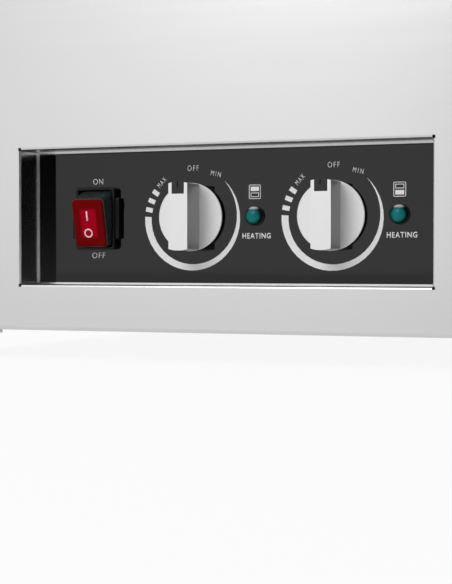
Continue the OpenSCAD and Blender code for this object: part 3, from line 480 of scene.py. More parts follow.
@dataclass(frozen=True)
class ShadedFlankPaint(Grained):
    """Sprayed paint on the faces to the front, with painted shade that darkens the flanks as they turn
    aside.

    Attributes:
        flank_shade: Colour of the painted shade on the flanks as sRGB hex.
        steep: How the painted shade sets in, over the steepness that the piece carries.
    """

    flank_shade: str = "#b6b6b6"
    steep: Fade = Fade(0.7, 0.95)

    def tint(self, tree: Tree, tone: Socket) -> Socket:
        """Mixes in the painted shade of the flanks by the steepness of each face.

        Args:
            tree: Node tree that gets the nodes.
            tone: Tone pattern.

        Returns:
            The colour's socket.
        """
        slope = add_node(tree, "ShaderNodeAttribute", {"attribute_name": STEEPNESS}).outputs["Fac"]
        flank_shade_mask = add_node(tree, "ShaderNodeMapRange", self.steep.settings(), {"Value": slope})
        return add_node(tree, "ShaderNodeMix", {"data_type": "RGBA", COLOUR_2: linear(self.flank_shade)},
                        {"Factor": flank_shade_mask.outputs["Result"], COLOUR_1: super().tint(tree, tone)}
                        ).outputs[MIXED_COLOUR]


@dataclass(frozen=True)
class StudioPaper(Grained):
    """Pale studio paper: white to the eye, with the object's soft shadow kept on it.

    Attributes:
        glow: Share of the paper's light, as the eye sees it, that does not depend on shadow.
        mirrored: Brightness of the paper in reflections.
    """

    glow: float = 0.9
    mirrored: float = 0.8

    def shade(self, tree: Tree) -> Socket:
        """Builds the paper, evenly lit for direct sight and reflections.

        Args:
            tree: Node tree that gets the nodes.

        Returns:
            The shader's socket.
        """
        path = add_node(tree, "ShaderNodeLightPath").outputs
        bent = add_node(tree, "ShaderNodeMath", {"operation": "MAXIMUM"},
                        {0: path["Is Glossy Ray"], 1: path["Is Transmission Ray"]}).outputs[0]
        seen = add_node(tree, "ShaderNodeMath", {"operation": "MULTIPLY", 1: self.glow},
                        {0: path["Is Camera Ray"]}).outputs[0]
        share = add_node(tree, "ShaderNodeMath", {"operation": "MAXIMUM"}, {0: bent, 1: seen}).outputs[0]
        level = add_node(tree, "ShaderNodeMapRange", {"To Min": 1.0, "To Max": self.mirrored},
                         {"Value": bent}).outputs["Result"]
        even = add_node(tree, "ShaderNodeEmission", {"Color": WHITE}, {"Strength": level})
        return add_node(tree, "ShaderNodeMixShader", links={0: share, 1: super().shade(tree),
                                                            2: even.outputs["Emission"]}).outputs["Shader"]


# Stainless panels, brushed along their length: level streaks on the front, running back on the sides
PANEL_STEEL = Brushed("brushed_panel_steel", "#dcdcdc", (0.19, 0.27))
SIDE_STEEL = Brushed("brushed_side_steel", "#dcdcdc", (0.25, 0.33), grain=Grain.Y)
LID_STEEL = Brushed("brushed_lid_steel", "#d4d4d3", (0.24, 0.34))
# Mill-finish sheet: greyer and duller, streaked by the rolls
MILL_STEEL = Brushed("mill_steel", "#b4b4b3", (0.4, 0.5), grain=Grain.Y)
# Deep-drawn pan: bright, with coarser marks along its walls
PAN_STEEL = Brushed("drawn_pan_steel", "#d8d8d7", (0.2, 0.32), scratch_mm=0.8)
# Polished rod, pins and shafts: sharp reflections
ROD_STEEL = Grained("polished_rod_steel", "#dadada", (0.12, 0.2), metallic=1.0)
# Zinc-plated screws and nuts: bluish sheen
SCREW_ZINC = Grained("zinc_plate", "#c4c7c9", (0.24, 0.36), metallic=1.0, patch_mm=2.0)
# Silver-sprayed knob cap: part mirror, part matt, with hardly any grain and painted shade on the flanks
KNOB_SATIN = ShadedFlankPaint("silver_knob_paint", "#f2f2f2", (0.42, 0.48), contrast=0.012, relief=0.02,
                          metallic=0.5)
# Nickel-plated brass valve: warm grey sheen
VALVE_NICKEL = Grained("nickel_on_brass", "#cfc9ba", (0.2, 0.32), metallic=1.0)
# Copper capillary and bulb: warm drawn tube
SENSOR_COPPER = Grained("drawn_copper", "#c08a5c", (0.25, 0.4), metallic=1.0)
# Heater sheath: dark heat-stained alloy tube
HEATER_SHEATH = Grained("heat_stained_sheath", "#6a625a", (0.4, 0.55), contrast=0.2, metallic=1.0)
# Gloss black acrylic facia: near black under a mirror-like surface
FACIA_GLOSS = Grained("gloss_black_facia", "#020202", (0.02, 0.05), contrast=0.1, relief=0.0, ior=1.46,
                      patch_mm=30.0)
# White screen print on the facia: thin, even and faintly grainy
PRINT_WHITE = Grained("white_screen_print", "#fdfdfb", (0.5, 0.65), contrast=0.02, patch_mm=2.0,
                      grit_mm=0.2)
# Black nylon of switch frame, knob skirt and insert, lamp rim and gland: satin to gloss
SWITCH_NYLON = Grained("black_switch_nylon", "#080808", (0.3, 0.4), relief=0.08, specular=0.25)
KNOB_NYLON = Grained("black_knob_nylon", "#121212", (0.3, 0.45), relief=0.1)
LAMP_NYLON = Grained("black_lamp_rim", "#0a0d0d", (0.15, 0.25))
GLAND_NYLON = Grained("black_gland_nylon", "#181818", (0.4, 0.55), relief=0.15)
# Red polycarbonate of the rocker, and the white inlaid marks on it: no gloss left after use
ROCKER_RED = WindowedRed("red_rocker_polycarbonate", "#740305", (0.45, 0.55), contrast=0.1, relief=0.02,
                         specular=0.03)
MARK_WHITE = Grained("white_rocker_mark", "#ffe6e6", (0.45, 0.55), contrast=0.02, relief=0.02)
# Smoky silicone cover round the rocker: dim, with soft highlights along its folds
COVER_SMOKE = ClearMoulding("smoky_silicone", "#404a4a", (0.25, 0.35), ior=1.41, relief=0.02)
# Teal moulded lens of the lamps: deep glassy colour, over ribs that show as specks, with painted shade
# towards the edge (its first colour) and a painted highlight across the top
LENS_TEAL = DomedLens("teal_lens", "#021a18", (0.08, 0.14), relief=0.1, specular=0.2, patch_mm=1.1)
# Moulded foot rubber, dipped grip vinyl, woven loom sleeve, cream mouldings inside: matt, grainy
FOOT_RUBBER = Grained("black_foot_rubber", "#151515", (0.6, 0.75), relief=0.25, grit_mm=0.6)
GRIP_VINYL = Grained("red_grip_vinyl", "#8f1414", (0.35, 0.5), relief=0.12, grit_mm=0.8)
LOOM_SLEEVE = Grained("grey_loom_sleeve", "#4a4a4a", (0.6, 0.75), relief=0.4, grit_mm=1.0)
CREAM_MOULDING = Grained("cream_moulding", "#d8cfb6", (0.45, 0.6))
# Studio paper: a plain matt ground, nearly white
FLOOR_PAPER = StudioPaper("studio_paper", "#fafafa", (0.8, 0.9), contrast=0.01, specular=0.0, patch_mm=2.0)


def dress(finish: Finish, *nodes: str) -> None:
    """Gives carried-over solids their finish.

    Args:
        finish: Finish for all their material slots.
        nodes: Names of the solids.
    """
    for node in nodes:
        data = frame["nodes"][node].data
        data.materials.clear()
        data.materials.append(finish.material())
        LOG.info("%s wears %s", node, finish.name)


def show(name: str, data: bpy.types.ID) -> bpy.types.Object:
    """Puts an object into the scene.

    Args:
        name: Name of the object.
        data: Its mesh, camera or lamp.

    Returns:
        The new object.
    """
    made = bpy.data.objects.new(name, data)
    bpy.context.scene.collection.objects.link(made)
    return made


def put(name: str, shape: Shape, finish: Finish, like: str, instead: Sequence[str] = (),
        place: Optional[Matrix] = None, even: bool = True, ride: bool = True) -> bpy.types.Object:
    """Turns a finished shape into a piece that rides with the body of a solid.

    Args:
        name: Name of the piece.
        shape: Shape in metres. It is used up.
        finish: Finish of the piece.
        like: Solid whose body carries the piece.
        instead: Solids that the piece stands for.
        place: Where the shape's own frame lies in the part's frame.
        even: Whether large flat faces lead the shading.
        ride: Whether the piece follows one body only.

    Returns:
        The new piece.
    """
    if place is not None:
        bmesh.ops.transform(shape, matrix=place, verts=shape.verts)
    for face in shape.faces:
        face.smooth = True
    data = bpy.data.meshes.new(name)
    shape.to_mesh(data)
    shape.free()
    data.materials.append(finish.material())
    piece = show(name, data)
    if even:
        lead = piece.modifiers.new("even_shading", "WEIGHTED_NORMAL")
        lead.keep_sharp = True
    if ride:
        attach(piece, BODY_OF[like])
    if instead:
        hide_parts(*instead)
    LOG.info("%s made for %s", name, BODY_OF[like])
    return piece


def bevel(shape: Shape, edges: Sequence[Edge], radius: float, segments: int) -> None:
    """Rounds chosen edges of a shape.

    Args:
        shape: Shape to change.
        edges: Edges to round.
        radius: Width of the rounding.
        segments: Number of faces across it.
    """
    bmesh.ops.bevel(shape, geom=list(edges), offset=radius, offset_type="OFFSET", segments=segments,
                    profile=0.5, affect="EDGES", clamp_overlap=True, material=-1)


def round_edges(shape: Shape, radius: float, segments: int = PLAIN_STEPS, limit: float = SHARP) -> None:
    """Rounds the sharp edges of a shape.

    Args:
        shape: Shape to change.
        radius: Width of the rounding.
        segments: Number of faces across it.
        limit: Least angle between faces, in degrees, that counts as sharp.
    """
    bend = math.radians(limit)
    sharp = [edge for edge in shape.edges if edge.is_manifold and edge.calc_face_angle(0.0) > bend]
    bevel(shape, sharp, radius, segments)


def merge_flats(shape: Shape) -> None:
    """Merges the points and the flat faces of a shape."""
    bmesh.ops.remove_doubles(shape, verts=shape.verts, dist=WELD)
    bmesh.ops.dissolve_limit(shape, angle_limit=math.radians(FLAT), verts=shape.verts, edges=shape.edges)


def softened(node: str, radius: float, finish: Finish, segments: int = PLAIN_STEPS) -> None:
    """Replaces a solid by a copy of itself with rounded edges.

    Args:
        node: Name of the solid.
        radius: Width of the rounding.
        finish: Finish of the copy.
        segments: Number of faces across the rounding.
    """
    shape = bmesh.new()
    shape.from_mesh(frame["nodes"][node].data)
    merge_flats(shape)
    round_edges(shape, radius, segments)
    put(node + ".rounded", shape, finish, node, (node,))


def raise_faces(shape: Shape, faces: Sequence[Face], by: tuple[float, float, float],
                keep: bool = True) -> list[Face]:
    """Extrudes a region of faces.

    Args:
        shape: Shape to change.
        faces: Faces to move.
        by: Way along which they move.
        keep: Whether the faces also stay where they were, as the underside of a flat sheet does.

    Returns:
        The moved faces.
    """
    new = bmesh.ops.extrude_face_region(shape, geom=list(faces))["geom"]
    bmesh.ops.translate(shape, vec=by, verts=[item for item in new if isinstance(item, bmesh.types.BMVert)])
    if not keep:
        left = [face for face in faces if face.is_valid]
        bmesh.ops.delete(shape, geom=left, context="FACES_ONLY")
    return [item for item in new if isinstance(item, Face)]


def cut_faces(shape: Shape, point: tuple[float, float, float], normal: tuple[float, float, float],
              clear: bool = False) -> None:
    """Cuts a shape along a plane.

    Args:
        shape: Shape to change.
        point: Point on the plane.
        normal: Direction of the plane's outer side.
        clear: Whether the outer side is removed.
    """
    bmesh.ops.bisect_plane(shape, geom=shape.verts[:] + shape.edges[:] + shape.faces[:], dist=WELD,
                           plane_co=point, plane_no=normal, clear_outer=clear)


def slab(width: float, length: float, height: float, corner: float) -> Shape:
    """Makes a slab on Z = 0 with rounded upright edges.

    Args:
        width: Size along X.
        length: Size along Y.
        height: Size along Z.
        corner: Radius of its upright edges.

    Returns:
        The shape.
    """
    shape = bmesh.new()
    bmesh.ops.create_cube(shape, size=1.0)
    bmesh.ops.scale(shape, verts=shape.verts, vec=(width, length, height))
    bmesh.ops.translate(shape, verts=shape.verts, vec=(0.0, 0.0, height / 2))
    upright = [edge for edge in shape.edges if abs(edge.verts[0].co.z - edge.verts[1].co.z) > height / 2]
    bevel(shape, upright, corner, CORNER_STEPS)
    return shape


@dataclass(frozen=True)
class PlatePlace:
    """A place on the control plate: X to the right, Y up and Z out towards the user.

    Attributes:
        x: Place along the part's X.
        z: Place along the part's Z.
    """

    x: float
    z: float

    def matrix(self) -> Matrix:
        """Returns the matrix from the place's own frame to the part's frame."""
        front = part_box("control_plate")[0].y
        return Matrix(((1, 0, 0, self.x), (0, 0, -1, front), (0, 1, 0, self.z), (0, 0, 0, 1)))


@dataclass
class SteelBody:
    """Panels, deck, base, feet, screws and tanks of the body.

    Attributes:
        foot_edge: Rounding of the feet.
        screw_edge: Rounding of the screw heads.
    """

    foot_edge: float = 0.9 * MM
    screw_edge: float = 0.25 * MM

    def build(self) -> None:
        """Dresses the sheets and makes the rounded feet and screws."""
        dress(PANEL_STEEL, "front_panel", "rear_panel", "top_deck")
        dress(SIDE_STEEL, "left_panel", "right_panel")
        dress(MILL_STEEL, "base_plate", "front_tank", "rear_tank", "element_clamps")
        softened("feet", self.foot_edge, FOOT_RUBBER)
        for node in ("panel_screws", "base_screws", "foot_screws"):
            softened(node, self.screw_edge, SCREW_ZINC, COARSE_STEPS)
        dress(SCREW_ZINC, "clamp_nuts", "plate_nuts", "thermostat_screws")


@dataclass
class Innards:
    """Heating, sensing and wiring inside the closed body."""

    def build(self) -> None:
        """Dresses the hidden solids."""
        dress(HEATER_SHEATH, "front_element", "rear_element")
        dress(SENSOR_COPPER, "left_sensor", "right_sensor")
        dress(SWITCH_NYLON, "thermal_cutouts", "switch_body")
        dress(CREAM_MOULDING, "left_thermostat", "right_thermostat", "lamp_bodies", "terminal_block")
        dress(ROD_STEEL, "left_shaft", "right_shaft", "front_hinge_pin", "rear_hinge_pin", "valve_ball")
        dress(LOOM_SLEEVE, "wiring_loom")
        dress(GLAND_NYLON, "gland_nut")
        dress(MILL_STEEL, "drain_manifold")


@dataclass(frozen=True)
class Word:
    """A printed word on the control plate.

    Attributes:
        name: Name of the piece.
        text: Letters of the word.
        x: Middle of the word along X, in millimetres.
        z: Middle of the word along Z, in millimetres.
        width: Width of the word in millimetres.
        height: Height of its capitals in millimetres.
        turn: Turn against the clock in degrees.
        bold: Thickening of its strokes as a share of the letters' size.
        space: Distance between letters against the typeface's own.
    """

    name: str
    text: str
    x: float
    z: float
    width: float
    height: float
    turn: float = 0.0
    bold: float = 0.0
    space: float = 1.15


@dataclass
class ControlPlate:
    """Gloss control plate with its printed dials and words.

    Attributes:
        print_t: Thickness of the printed words.
        switch_x: Middle of the switch's words along X, in millimetres.
        dials: Middles of the two dials along X, in millimetres.
        dial_z: Height of the dials' middles, in millimetres.
        words_z: Height from which the other words are placed, in millimetres.
        round_height: Height of the words round a dial, in millimetres.
        round_space: Distance between their letters against the typeface's own.
        letter_steps: Number of steps in a letter's curves.
    """

    print_t: float = 0.06 * MM
    switch_x: float = -88.5
    dials: tuple[float, float] = (-24.9, 64.9)
    dial_z: float = 87.6
    words_z: float = 88.2
    round_height: float = 3.0
    round_space: float = 1.4
    letter_steps: int = 6

    def words(self) -> list[Word]:
        """Lists the printed words.

        Returns:
            The words of the switch and of both dials.
        """
        found = [Word("word_on", "ON", x=self.switch_x - 0.2, z=self.words_z + 22.7, width=6.9, height=3.7),
                 Word("word_switch_off", "OFF", x=self.switch_x + 0.1, z=self.words_z - 23.5, width=9.1,
                      height=3.6)]
        for side, dial in zip((side.value for side in Side), self.dials):
            found.append(Word(f"word_{side}_off", "OFF", x=dial + 0.8, z=self.dial_z + 30.4, width=7.4,
                              height=3.4, space=1.3))
            found.append(self.round_word(f"word_{side}_min", "MIN", dial, radius=31.0, way=30.7, turn=-12.0,
                                         width=6.6))
            found.append(self.round_word(f"word_{side}_max", "MAX", dial, radius=29.8, way=-42.4, turn=48.0,
                                         width=6.9))
            found.append(Word(f"word_{side}_heating", "HEATING", x=dial + 42.2, z=self.words_z - 11.9,
                              width=18.2, height=3.4, bold=0.02))
        return found

    def round_word(self, name: str, text: str, dial_x: float, radius: float, way: float, turn: float,
                   width: float) -> Word:
        """Places a word round a dial.

        Args:
            name: Name of the piece.
            text: Letters of the word.
            dial_x: Middle of the dial along X, in millimetres.
            radius: Distance from the dial's middle, in millimetres.
            way: Direction clockwise from the top, in degrees.
            turn: Turn of the word against the clock, in degrees.
            width: Width of the word, in millimetres.

        Returns:
            The placed word.
        """
        angle = math.radians(way)
        x = dial_x + radius * math.sin(angle)
        z = self.dial_z + radius * math.cos(angle)
        return Word(name, text, x, z, width, self.round_height, turn, space=self.round_space)

    def print_word(self, word: Word) -> None:
        """Makes one printed word from letters of the built-in typeface.

        Args:
            word: Word to print.
        """
        letters = bpy.data.curves.new(word.name, "FONT")
        letters.body = word.text
        letters.space_character = word.space
        letters.offset = word.bold
        letters.resolution_u = self.letter_steps
        drawn = bpy.data.objects.new(word.name, letters)
        flat = bpy.data.meshes.new_from_object(drawn)
        shape = bmesh.new()
        shape.from_mesh(flat)
        for old, store in ((drawn, bpy.data.objects), (letters, bpy.data.curves), (flat, bpy.data.meshes)):
            store.remove(old)
        bmesh.ops.remove_doubles(shape, verts=shape.verts, dist=LETTER_WELD)
        low = Vector((min(v.co[i] for v in shape.verts) for i in range(3)))
        high = Vector((max(v.co[i] for v in shape.verts) for i in range(3)))
        bmesh.ops.translate(shape, verts=shape.verts, vec=-(low + high) / 2)
        bmesh.ops.scale(shape, verts=shape.verts,
                        vec=(word.width * MM / (high.x - low.x), word.height * MM / (high.y - low.y), 1.0))
        raise_faces(shape, shape.faces[:], (0.0, 0.0, self.print_t))
        bmesh.ops.recalc_face_normals(shape, faces=shape.faces)
        bmesh.ops.rotate(shape, verts=shape.verts, matrix=Matrix.Rotation(math.radians(word.turn), 3, "Z"))
        put(word.name, shape, PRINT_WHITE, "dial_print", even=False,
            place=PlatePlace(word.x * MM, word.z * MM).matrix())

    def build(self) -> None:
        """Dresses the plate and its dials, and prints the words."""
        dress(FACIA_GLOSS, "control_plate")
        dress(PRINT_WHITE, "dial_print")
        for word in self.words():
            self.print_word(word)


@dataclass
class Knob:
    """One dial's knob: silver cap, black skirt and a black insert that points to the dial.

    Attributes:
        side: Dial that it belongs to.
        edge: Rounding of the cap's edges.
        insert_edge: Rounding of the insert's edges.
        bar_trim: How far the bar's ends stand back from the rim.
        bar_w: Width of the bar.
        bar_bend: Least angle between the bar's faces, in degrees, whose edge is rounded.
        rim_bend: The same for the rim.
        rim_h: Height of the rim over the plate.
        groove: Width, length and depth of the insert's groove.
        segments: Number of faces round the knob.
    """

    side: Side
    edge: float = 0.5 * MM
    insert_edge: float = 0.2 * MM
    bar_trim: float = 0.3 * MM
    bar_w: float = 12.2 * MM
    bar_bend: float = 40.0
    rim_bend: float = 60.0
    rim_h: float = 3.2 * MM
    groove: tuple[float, float, float] = (1.1 * MM, 3.6 * MM, 0.9 * MM)
    segments: int = 160

    def block(self, radius: float, half: float, tail: float, pocket: tuple[float, float],
              levels: tuple[float, float]) -> Shape:
        """Makes a block with a round outer end and a pocket in that end.

        Args:
            radius: Radius of its ends.
            half: Half its width.
            tail: Where it starts along Y.
            pocket: Half width of the pocket, and where it starts along Y.
            levels: Heights of the pocket's floor and of the block.

        Returns:
            The shape, on Z = 0.
        """
        shape = bmesh.new()
        bmesh.ops.create_circle(shape, cap_ends=True, radius=radius, segments=self.segments)
        for way in (-1, 1):
            cut_faces(shape, (way * half, 0, 0), (way, 0, 0), clear=True)
            cut_faces(shape, (way * pocket[0], 0, 0), (1, 0, 0))
        cut_faces(shape, (0, tail, 0), (0, -1, 0), clear=True)
        cut_faces(shape, (0, pocket[1], 0), (0, 1, 0))
        tops = raise_faces(shape, shape.faces[:], (0, 0, levels[0]))
        spots = [(face, face.calc_center_median()) for face in tops]
        around = [face for face, spot in spots if abs(spot.x) > pocket[0] or spot.y < pocket[1]]
        raise_faces(shape, around, (0, 0, levels[1] - levels[0]), keep=False)
        bmesh.ops.recalc_face_normals(shape, faces=shape.faces)
        return shape

    def build_top(self) -> None:
        """Makes the cap, which is a disc and a bar with a pocket, and the grooved insert in that pocket."""
        cap = f"{self.side.value}_knob_cap"
        pointer = f"{self.side.value}_pointer"
        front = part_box("control_plate")[0].y
        low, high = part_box(cap)
        in_low, in_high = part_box(pointer)
        place = PlatePlace((low.x + high.x) / 2, (low.z + high.z) / 2)
        base = front - high.y
        in_base = front - in_high.y
        radius = (high.x - low.x) / 2
        half = (in_high.x - in_low.x) / 2
        back = in_low.z - place.z
        reach = in_high.z - place.z
        shape = self.block(radius - self.bar_trim, self.bar_w / 2, -radius, (half, back),
                           (in_base - base, high.y - low.y))
        round_edges(shape, self.edge, FINE_STEPS, self.bar_bend)
        ring = bmesh.ops.create_circle(shape, cap_ends=True, radius=radius, segments=self.segments)["verts"]
        raise_faces(shape, ring[0].link_faces[:], (0, 0, self.rim_h - base))
        bmesh.ops.recalc_face_normals(shape, faces=shape.faces)
        round_edges(shape, self.edge, FINE_STEPS, self.rim_bend)
        shape.normal_update()
        # Each face's steepness sets the painted shade on the cap's flanks
        layer = shape.faces.layers.float.new(STEEPNESS)
        for face in shape.faces:
            face[layer] = abs(face.normal.x)
        put(cap + ".rounded", shape, KNOB_SATIN, cap, (cap,),
            place=place.matrix() @ Matrix.Translation((0, 0, base)))
        slot_w, slot_l, slot_d = self.groove
        depth = in_high.y - in_low.y
        shape = self.block(reach, half, back, (slot_w / 2, reach - slot_l), (depth - slot_d, depth))
        round_edges(shape, self.insert_edge, COARSE_STEPS)
        put(pointer + ".grooved", shape, KNOB_NYLON, pointer, (pointer,),
            place=place.matrix() @ Matrix.Translation((0, 0, in_base)))

    def build(self) -> None:
        """Makes the cap and the insert, and dresses the skirt."""
        self.build_top()
        dress(KNOB_NYLON, f"{self.side.value}_knob_core")


@dataclass
class RockerSwitch:
    """Rocker switch with its frame, its flexible cover, the red rocker and the marks on it.

    Attributes:
        tilt: Tilt of the rocker at rest, in degrees, top end out.
        pivot_h: Height of the pivot over the plate.
        face_h: Height of the face over the pivot.
        face: Width, length and thickness of the red face, and the radius of its corners.
        face_drop: How far the face's middle lies below the pivot, along the face.
        face_edge: Rounding of the face's edges.
        face_bend: Least angle between the face's sides, in degrees, whose edge is rounded.
        core: Width, length and corner radius of the block under the face.
        bar: Width and length of the upper mark, and its middle from the face's along X and Y.
        bar_corner: Radius of its corners.
        ring: Outer radius and line width of the lower mark, and its middle along X and Y.
        ring_steps: Number of faces round it.
        mark_t: Height of the marks over the face.
        frame_edge: Rounding of the frame's edges.
        window: Width and length of the frame's window.
        cover_wall: Thickness of the cover.
        cover_edge: Rounding of its edges.
        cover_fold: Least angle between its faces, in degrees, whose edge is rounded.
        cover_lip: Height of the cover's lip over the face.
        cover_corner: Radius of the cover's corners.
        cover_gap: Gap between the cover's foot and the frame's window.
        cover_foot: Height of the cover's foot over the plate.
        cover_bend: Heights over the plate between which the cover would give way to the rocker's motion;
            not used.
    """

    tilt: float = 13.4
    pivot_h: float = 3.0 * MM
    face_h: float = 11.2 * MM
    face: tuple[float, float, float, float] = (21.1 * MM, 29.8 * MM, 2.6 * MM, 2.6 * MM)
    face_drop: float = 0.7 * MM
    face_edge: float = 1.1 * MM
    face_bend: float = 60.0
    core: tuple[float, float, float] = (15.0 * MM, 14.0 * MM, 0.8 * MM)
    bar: tuple[float, float, float, float] = (1.0 * MM, 6.3 * MM, -0.75 * MM, 4.65 * MM)
    bar_corner: float = 0.45 * MM
    ring: tuple[float, float, float, float] = (2.85 * MM, 0.85 * MM, -0.85 * MM, -6.2 * MM)
    ring_steps: int = 48
    mark_t: float = 0.06 * MM
    frame_edge: float = 0.9 * MM
    window: tuple[float, float] = (23.1 * MM, 35.0 * MM)
    cover_wall: float = 0.8 * MM
    cover_edge: float = 0.28 * MM
    cover_fold: float = 50.0
    cover_lip: float = -1.3 * MM
    cover_corner: float = 3.2 * MM
    cover_gap: float = 0.25 * MM
    cover_foot: float = 2.0 * MM
    cover_bend: tuple[float, float] = (3.0 * MM, 8.0 * MM)

    def plate_place(self) -> Matrix:
        """Returns the matrix from the switch's middle on the plate to the part's frame."""
        low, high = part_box("switch_frame")
        return PlatePlace((low.x + high.x) / 2, (low.z + high.z) / 2).matrix()

    def tipped(self) -> Matrix:
        """Places the rocker's face as it is tipped at rest.

        Returns:
            The matrix from the middle of the face to the switch's middle on the plate.
        """
        turn = Matrix.Rotation(math.radians(self.tilt), 4, "X")
        rise = Matrix.Translation((0, -self.face_drop, self.face_h))
        return Matrix.Translation((0, 0, self.pivot_h)) @ turn @ rise

    def red_rocker(self) -> None:
        """Makes the red face, with its own face coordinates, and the block under it."""
        width, length, thick, corner = self.face
        place = self.plate_place() @ self.tipped()
        shape = slab(width, length, thick, corner)
        round_edges(shape, self.face_edge, FINE_STEPS, self.face_bend)
        layer = shape.loops.layers.uv.new("face")
        for face in shape.faces:
            for loop in face.loops:
                loop[layer].uv = (loop.vert.co.x / width + 0.5, loop.vert.co.y / length + 0.5)
        put("rocker.face", shape, ROCKER_RED, "rocker", ("rocker",),
            place=place @ Matrix.Translation((0, 0, -thick)))
        core_w, core_l, core_r = self.core
        put("rocker.core", slab(core_w, core_l, self.face_h - thick, core_r), ROCKER_RED, "rocker",
            place=place @ Matrix.Translation((0, 0, -self.face_h)))

    def marks(self) -> None:
        """Makes the two marks on the face."""
        face = self.plate_place() @ self.tipped()
        width, length, aside, up = self.bar
        put("rocker.mark_bar", slab(width, length, self.mark_t, self.bar_corner), MARK_WHITE, "rocker",
            place=face @ Matrix.Translation((aside, up, 0)), even=False)
        radius, line, aside, up = self.ring
        inner = radius - line
        ring = bmesh.new()
        corners = [ring.verts.new((r, 0, z)) for r, z in ((inner, 0), (radius, 0), (radius, self.mark_t),
                                                          (inner, self.mark_t))]
        edges = [ring.edges.new((corners[i - 1], corners[i])) for i in range(len(corners))]
        bmesh.ops.spin(ring, geom=corners + edges, cent=(0, 0, 0), axis=(0, 0, 1), angle=math.tau,
                       steps=self.ring_steps, use_merge=True)
        bmesh.ops.recalc_face_normals(ring, faces=ring.faces)
        put("rocker.mark_ring", ring, MARK_WHITE, "rocker", even=False,
            place=face @ Matrix.Translation((aside, up, 0)))

    def cover(self) -> None:
        """Makes the cover, whose foot sits in the frame and whose lip sits round the rocker's face as it is
        tipped at rest.
        """
        foot = [size - 2 * self.cover_gap for size in self.window]
        lip = [size + self.cover_wall for size in self.face[:2]]
        plate = self.plate_place()
        tip = self.tipped()
        shape = slab(*foot, self.cover_foot, self.cover_corner)
        ends = [face for face in shape.faces if abs(face.normal.z) > LEVEL]
        bmesh.ops.delete(shape, geom=ends, context="FACES_ONLY")
        for vert in shape.verts:
            if vert.co.z > self.cover_foot / 2:
                spread = [vert.co[axis] * lip[axis] / foot[axis] for axis in (0, 1)]
                vert.co = tip @ Vector((*spread, self.cover_lip))
            else:
                vert.co.z = self.cover_foot
        bmesh.ops.solidify(shape, geom=shape.faces[:], thickness=self.cover_wall)
        bmesh.ops.recalc_face_normals(shape, faces=shape.faces)
        round_edges(shape, self.cover_edge, limit=self.cover_fold)
        piece = put("rocker_cover.boot", shape, COVER_SMOKE, "rocker_cover", ("rocker_cover",), place=plate,
                    ride=False)
        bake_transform(piece)

    def build(self) -> None:
        """Makes the rounded frame, the rocker, the marks and the cover."""
        softened("switch_frame", self.frame_edge, SWITCH_NYLON, FINE_STEPS)
        self.red_rocker()
        self.marks()
        self.cover()


@dataclass
class Lamps:
    """Indicator lamps with a black rim and a tinted dome.

    Attributes:
        rim_edge: Rounding of the rims.
    """

    rim_edge: float = 0.3 * MM

    def lenses(self) -> None:
        """Copies the domes and gives each its own coordinates, from 0 to 1 across it and up it."""
        low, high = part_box("lamp_lenses")
        size = high.z - low.z
        shape = bmesh.new()
        shape.from_mesh(frame["nodes"]["lamp_lenses"].data)
        bmesh.ops.remove_doubles(shape, verts=shape.verts, dist=WELD)
        layer = shape.loops.layers.uv.new("lens")
        for face in shape.faces:
            for loop in face.loops:
                spot = loop.vert.co
                start = low.x if spot.x < (low.x + high.x) / 2 else high.x - size
                loop[layer].uv = ((spot.x - start) / size, (spot.z - low.z) / size)
        put("lamp_lenses.domes", shape, LENS_TEAL, "lamp_lenses", ("lamp_lenses",))

    def build(self) -> None:
        """Makes the rounded rims and the lenses."""
        softened("lamp_rims", self.rim_edge, LAMP_NYLON)
        self.lenses()


@dataclass
class Well:
    """One well's lift-out pan and its hinged cover.

    Attributes:
        zone: Well that they belong to.
        sheet_edge: Rounding of the cover's sheet edges.
    """

    zone: Zone
    sheet_edge: float = 0.25 * MM

    def build(self) -> None:
        """Dresses the pan and handle, and makes the rounded cover and flap."""
        dress(PAN_STEEL, f"{self.zone.value}_pan")
        dress(ROD_STEEL, f"{self.zone.value}_handle")
        for part in ("cover", "flap"):
            softened(f"{self.zone.value}_{part}", self.sheet_edge, LID_STEEL, COARSE_STEPS)


@dataclass
class DrainAndSupply:
    """Drain valve with its lever, and the gland for a supply cable.

    Attributes:
        cast_edge: Rounding of the valve's edges.
        lever_edge: Rounding of the lever's edges.
        grip_edge: Rounding of the grip's edges.
        gland_edge: Rounding of the gland's edges.
    """

    cast_edge: float = 0.8 * MM
    lever_edge: float = 0.4 * MM
    grip_edge: float = 1.0 * MM
    gland_edge: float = 0.6 * MM

    def build(self) -> None:
        """Makes the rounded valve, lever, grip and gland."""
        softened("valve_body", self.cast_edge, VALVE_NICKEL)
        softened("valve_lever", self.lever_edge, ROD_STEEL)
        softened("lever_grip", self.grip_edge, GRIP_VINYL)
        softened("cable_gland", self.gland_edge, GLAND_NYLON)


